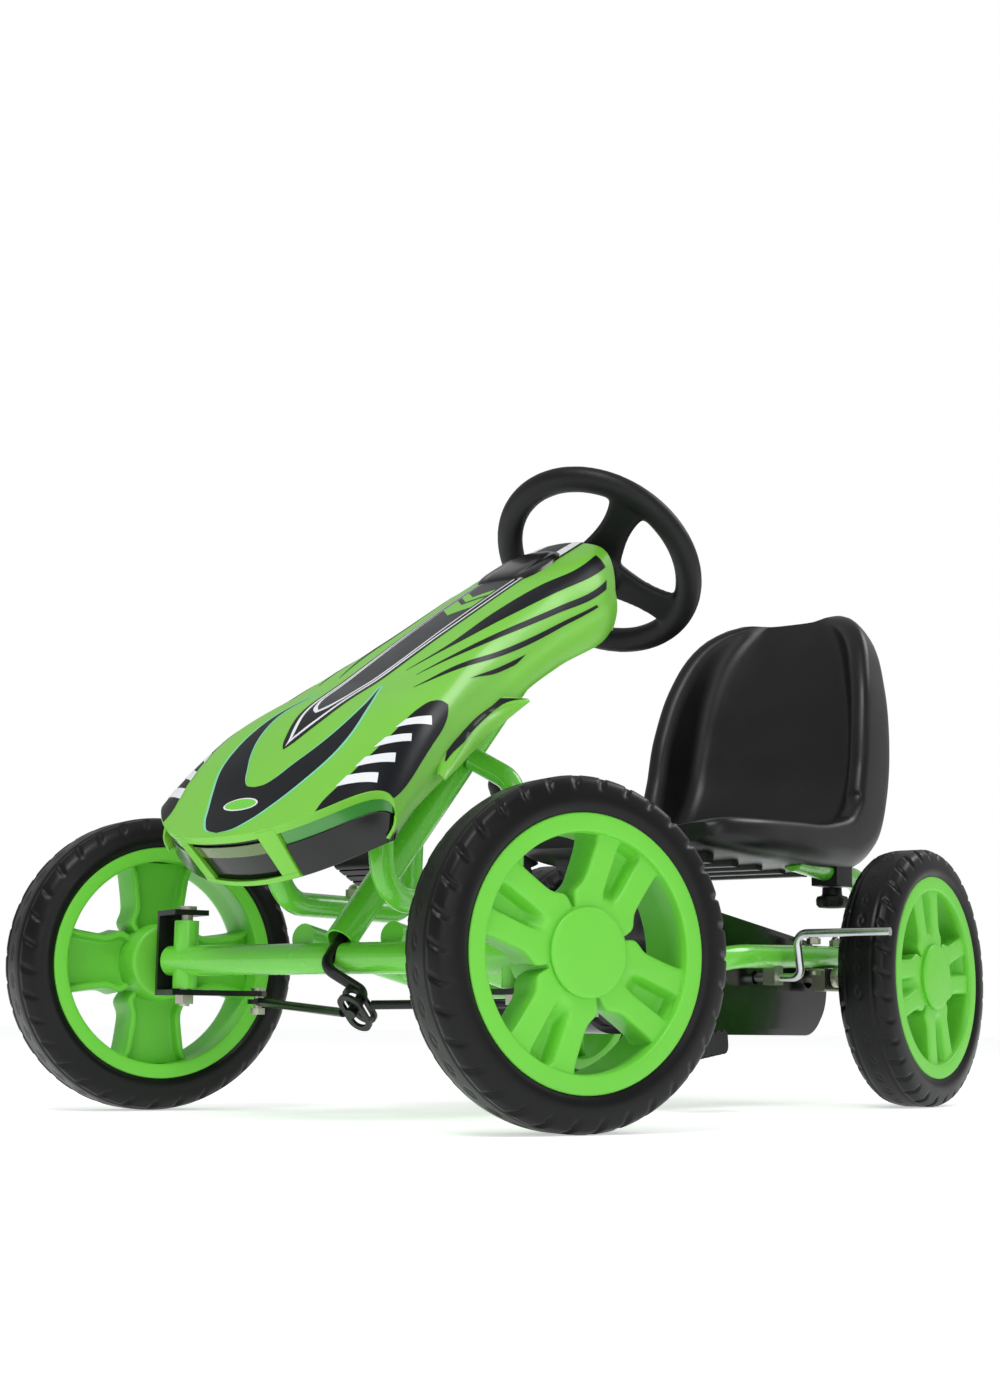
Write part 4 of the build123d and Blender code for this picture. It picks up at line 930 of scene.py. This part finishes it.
def makeSeat():
    # a U section carried along the line of the seat's underside and back, closed and rounded
    look = seatLook
    count = look["stations"]
    path = np.asarray(look["path"], float)
    run = np.concatenate([[0], np.cumsum(np.linalg.norm(np.diff(path, axis=0), axis=1))])
    run /= run[-1]
    s = np.linspace(0, 1, count)
    centre = smoothLine(s, run, path)
    half, wall, floor = (smoothLine(s, run, look[key]) for key in ("half", "wall", "floor"))
    way = np.gradient(centre, axis=0)
    way /= np.linalg.norm(way, axis=1, keepdims=True)
    normal = np.stack([-way[:, 1], way[:, 0]], -1) * -1
    loops = []
    lip = look["lip"]
    for w, h, f in zip(half, wall, floor):
        outline = [(-w, 0), (-w * 0.5, -2), (w * 0.5, -2), (w, 0), (w, h), (w - lip, h),
                   (w - lip - 18, f + 1), (w * 0.35, f - 4), (-w * 0.35, f - 4),
                   (-w + lip + 18, f + 1), (-w + lip, h), (-w, h)]
        r = look["rounds"]
        loops.append(roundedLoop(outline, (r, r, r, r, 11, 13, 16, r, r, 16, 13, 11), 5))
    loops = np.array(loops)
    ease = np.clip(np.minimum(s, 1 - s) / look["endRound"], 0, 1)
    scale = np.sqrt(1 - (1 - ease)**2) * 0.35 + 0.65
    middle = np.stack([0 * floor, floor / 2], -1)[:, None]
    grown = middle + (loops - middle) * np.stack([scale * 0.3 + 0.7, scale], -1)[:, None]
    x = centre[:, 0:1] + normal[:, 0:1] * grown[..., 1]
    z = centre[:, 1:2] + normal[:, 1:2] * grown[..., 1]
    points = np.stack([x, grown[..., 0], z], -1)
    seat = addPiece("seatBucket", points.reshape(-1, 3) * mm, tubeFaces(*points.shape[:2]),
                    "seatBlack", "seat", ["seat_shell"], sharp=60)
    addModifier(seat, "BEVEL", width=0.006, segments=4, limit_method="ANGLE",
                angle_limit=np.radians(50))
    ribPoints, ribFaces, start = [], [], 0
    for index in range(look["ribs"]):
        x = look["ribStart"] - index * look["ribStep"]
        loop = roundedLoop([(x - 7, 256), (x + 7, 256), (x + 10, 268), (x - 10, 268)], 3, 3)
        y = np.array((-look["ribHalf"], look["ribHalf"]))
        grid = np.stack([np.broadcast_to(loop[:, 0], (2, len(loop))),
                         np.broadcast_to(y[:, None], (2, len(loop))),
                         np.broadcast_to(loop[:, 1], (2, len(loop)))], -1)
        ribPoints.append(grid.reshape(-1, 3))
        ribFaces += tubeFaces(2, len(loop), start)
        start += 2 * len(loop)
    addPiece("seatRibs", np.concatenate(ribPoints) * mm, ribFaces, "seatBlack", "seat",
             sharp=40)


def makeSeatKnobs():
    # six soft lobes: the radius swells with the cosine of six turns below the collar
    for name in sides:
        low, high = (np.array(corner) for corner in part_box(f"seat_knob_{name}"))
        cx, cy, top = (low[0] + high[0]) / 2, (low[1] + high[1]) / 2, high[2] - 4.6 * mm
        profile = np.array([(0.01, 0), (11, 0), (11.4, -7), (12, -9), (17.2, -10.5), (18.6, -14),
                            (18.2, -20), (15.5, -23), (9, -23.4), (8, -22.4), (0.01, -22.4)]) * mm
        angle = np.linspace(0, 2 * np.pi, 72, endpoint=False)[:, None]
        lobe = 1 - 0.09 * (0.5 - 0.5 * np.cos(6 * angle)) * (profile[:, 0] > 13 * mm)
        r = profile[:, 0] * lobe
        points = np.stack([cx + r * np.cos(angle), cy + r * np.sin(angle),
                           top + profile[:, 1] + 0 * angle], -1)
        addPiece(f"seatKnob{name.title()}", points, gridFaces(72, len(profile), wrapRows=True),
                 "gripBlack", f"seat_knob_{name}", [f"seat_knob_{name}"],
                 sharp=45)


makeSeat()
makeSeatKnobs()
print("stage: seat and knobs")


# Steering wheel.
steerLook = {"centre": (-68, 0, 583), "tilt": 45.3, "turn": -42.96, "ring": 105, "gripWide": 14.5,
             "gripDeep": 12.5, "hub": 31, "hubDepth": 76, "voxel": 2.4, "smooth": 8}


def columnPoints(points):
    # local x to the driver's right, z up the column; turned about the column, then placed
    look = steerLook
    tilt, turn = np.radians(look["tilt"]), np.radians(look["turn"])
    up = np.array((-np.cos(tilt), 0, np.sin(tilt)))
    xDir = np.array((0, -1.0, 0))
    yDir = np.cross(up, xDir)
    p = np.asarray(points).reshape(-1, 3)
    x = p[:, 0] * np.cos(turn) - p[:, 1] * np.sin(turn)
    y = p[:, 0] * np.sin(turn) + p[:, 1] * np.cos(turn)
    return (x[:, None] * xDir + y[:, None] * yDir + p[:, 2:3] * up) + np.array(look["centre"])


def makeSteeringWheel():
    # an oval section swept round the ring, three dished spokes and a tapered hub, melted together
    look = steerLook
    turn = np.linspace(0, 2 * np.pi, 144, endpoint=False)[:, None]
    round_ = np.linspace(0, 2 * np.pi, 28, endpoint=False)[None]
    radius = look["ring"] + look["gripWide"] * np.cos(round_)
    ring = np.stack([radius * np.cos(turn), radius * np.sin(turn),
                     look["gripDeep"] * np.sin(round_) + 0 * turn], -1)
    points, faces, start = [ring.reshape(-1, 3)], gridFaces(144, 28, True, True), 144 * 28
    along = np.linspace(0, 1, 16)
    for heading in (0, 180, 270):
        reach = look["hub"] - 14 + along * (look["ring"] - look["hub"] + 12)
        half = 25 - 9 * np.sin(along * np.pi * 0.8) + 6 * along**4
        drop = -12 + 9 * along**1.5
        loop = roundedLoop([(-1, -1), (1, -1), (1, 1), (-1, 1)], 0.5, 5)
        wide = loop[None, :, 0] * half[:, None]
        deep = loop[None, :, 1] * 6.5 + drop[:, None]
        long = np.repeat(reach[:, None], loop.shape[0], axis=1)
        a = np.radians(heading)
        spoke = np.stack([long * np.cos(a) - wide * np.sin(a), long * np.sin(a) + wide * np.cos(a),
                          deep], -1)
        points.append(spoke.reshape(-1, 3))
        faces += tubeFaces(16, loop.shape[0], start)
        start += 16 * loop.shape[0]
    profile = [(0.01, -2), (look["hub"] - 9, -2), (look["hub"] - 2, -5), (look["hub"], -12),
               (look["hub"] - 3, -40), (look["hub"] - 5, -look["hubDepth"]),
               (0.01, -look["hubDepth"])]
    hub = revolve(profile, 64)[..., [0, 2, 1]]
    points.append(hub.reshape(-1, 3))
    faces += gridFaces(64, len(profile), wrapRows=True, start=start)
    wheel = addPiece("steeringWheel", columnPoints(np.concatenate(points)) * mm, faces,
                     "gripBlack", "steering", ["steering_wheel"], sharp=60)
    addModifier(wheel, "REMESH", mode="VOXEL", voxel_size=look["voxel"] * mm,
                use_smooth_shade=True)
    addModifier(wheel, "SMOOTH", factor=0.5, iterations=look["smooth"])


makeSteeringWheel()
print("stage: steering wheel")
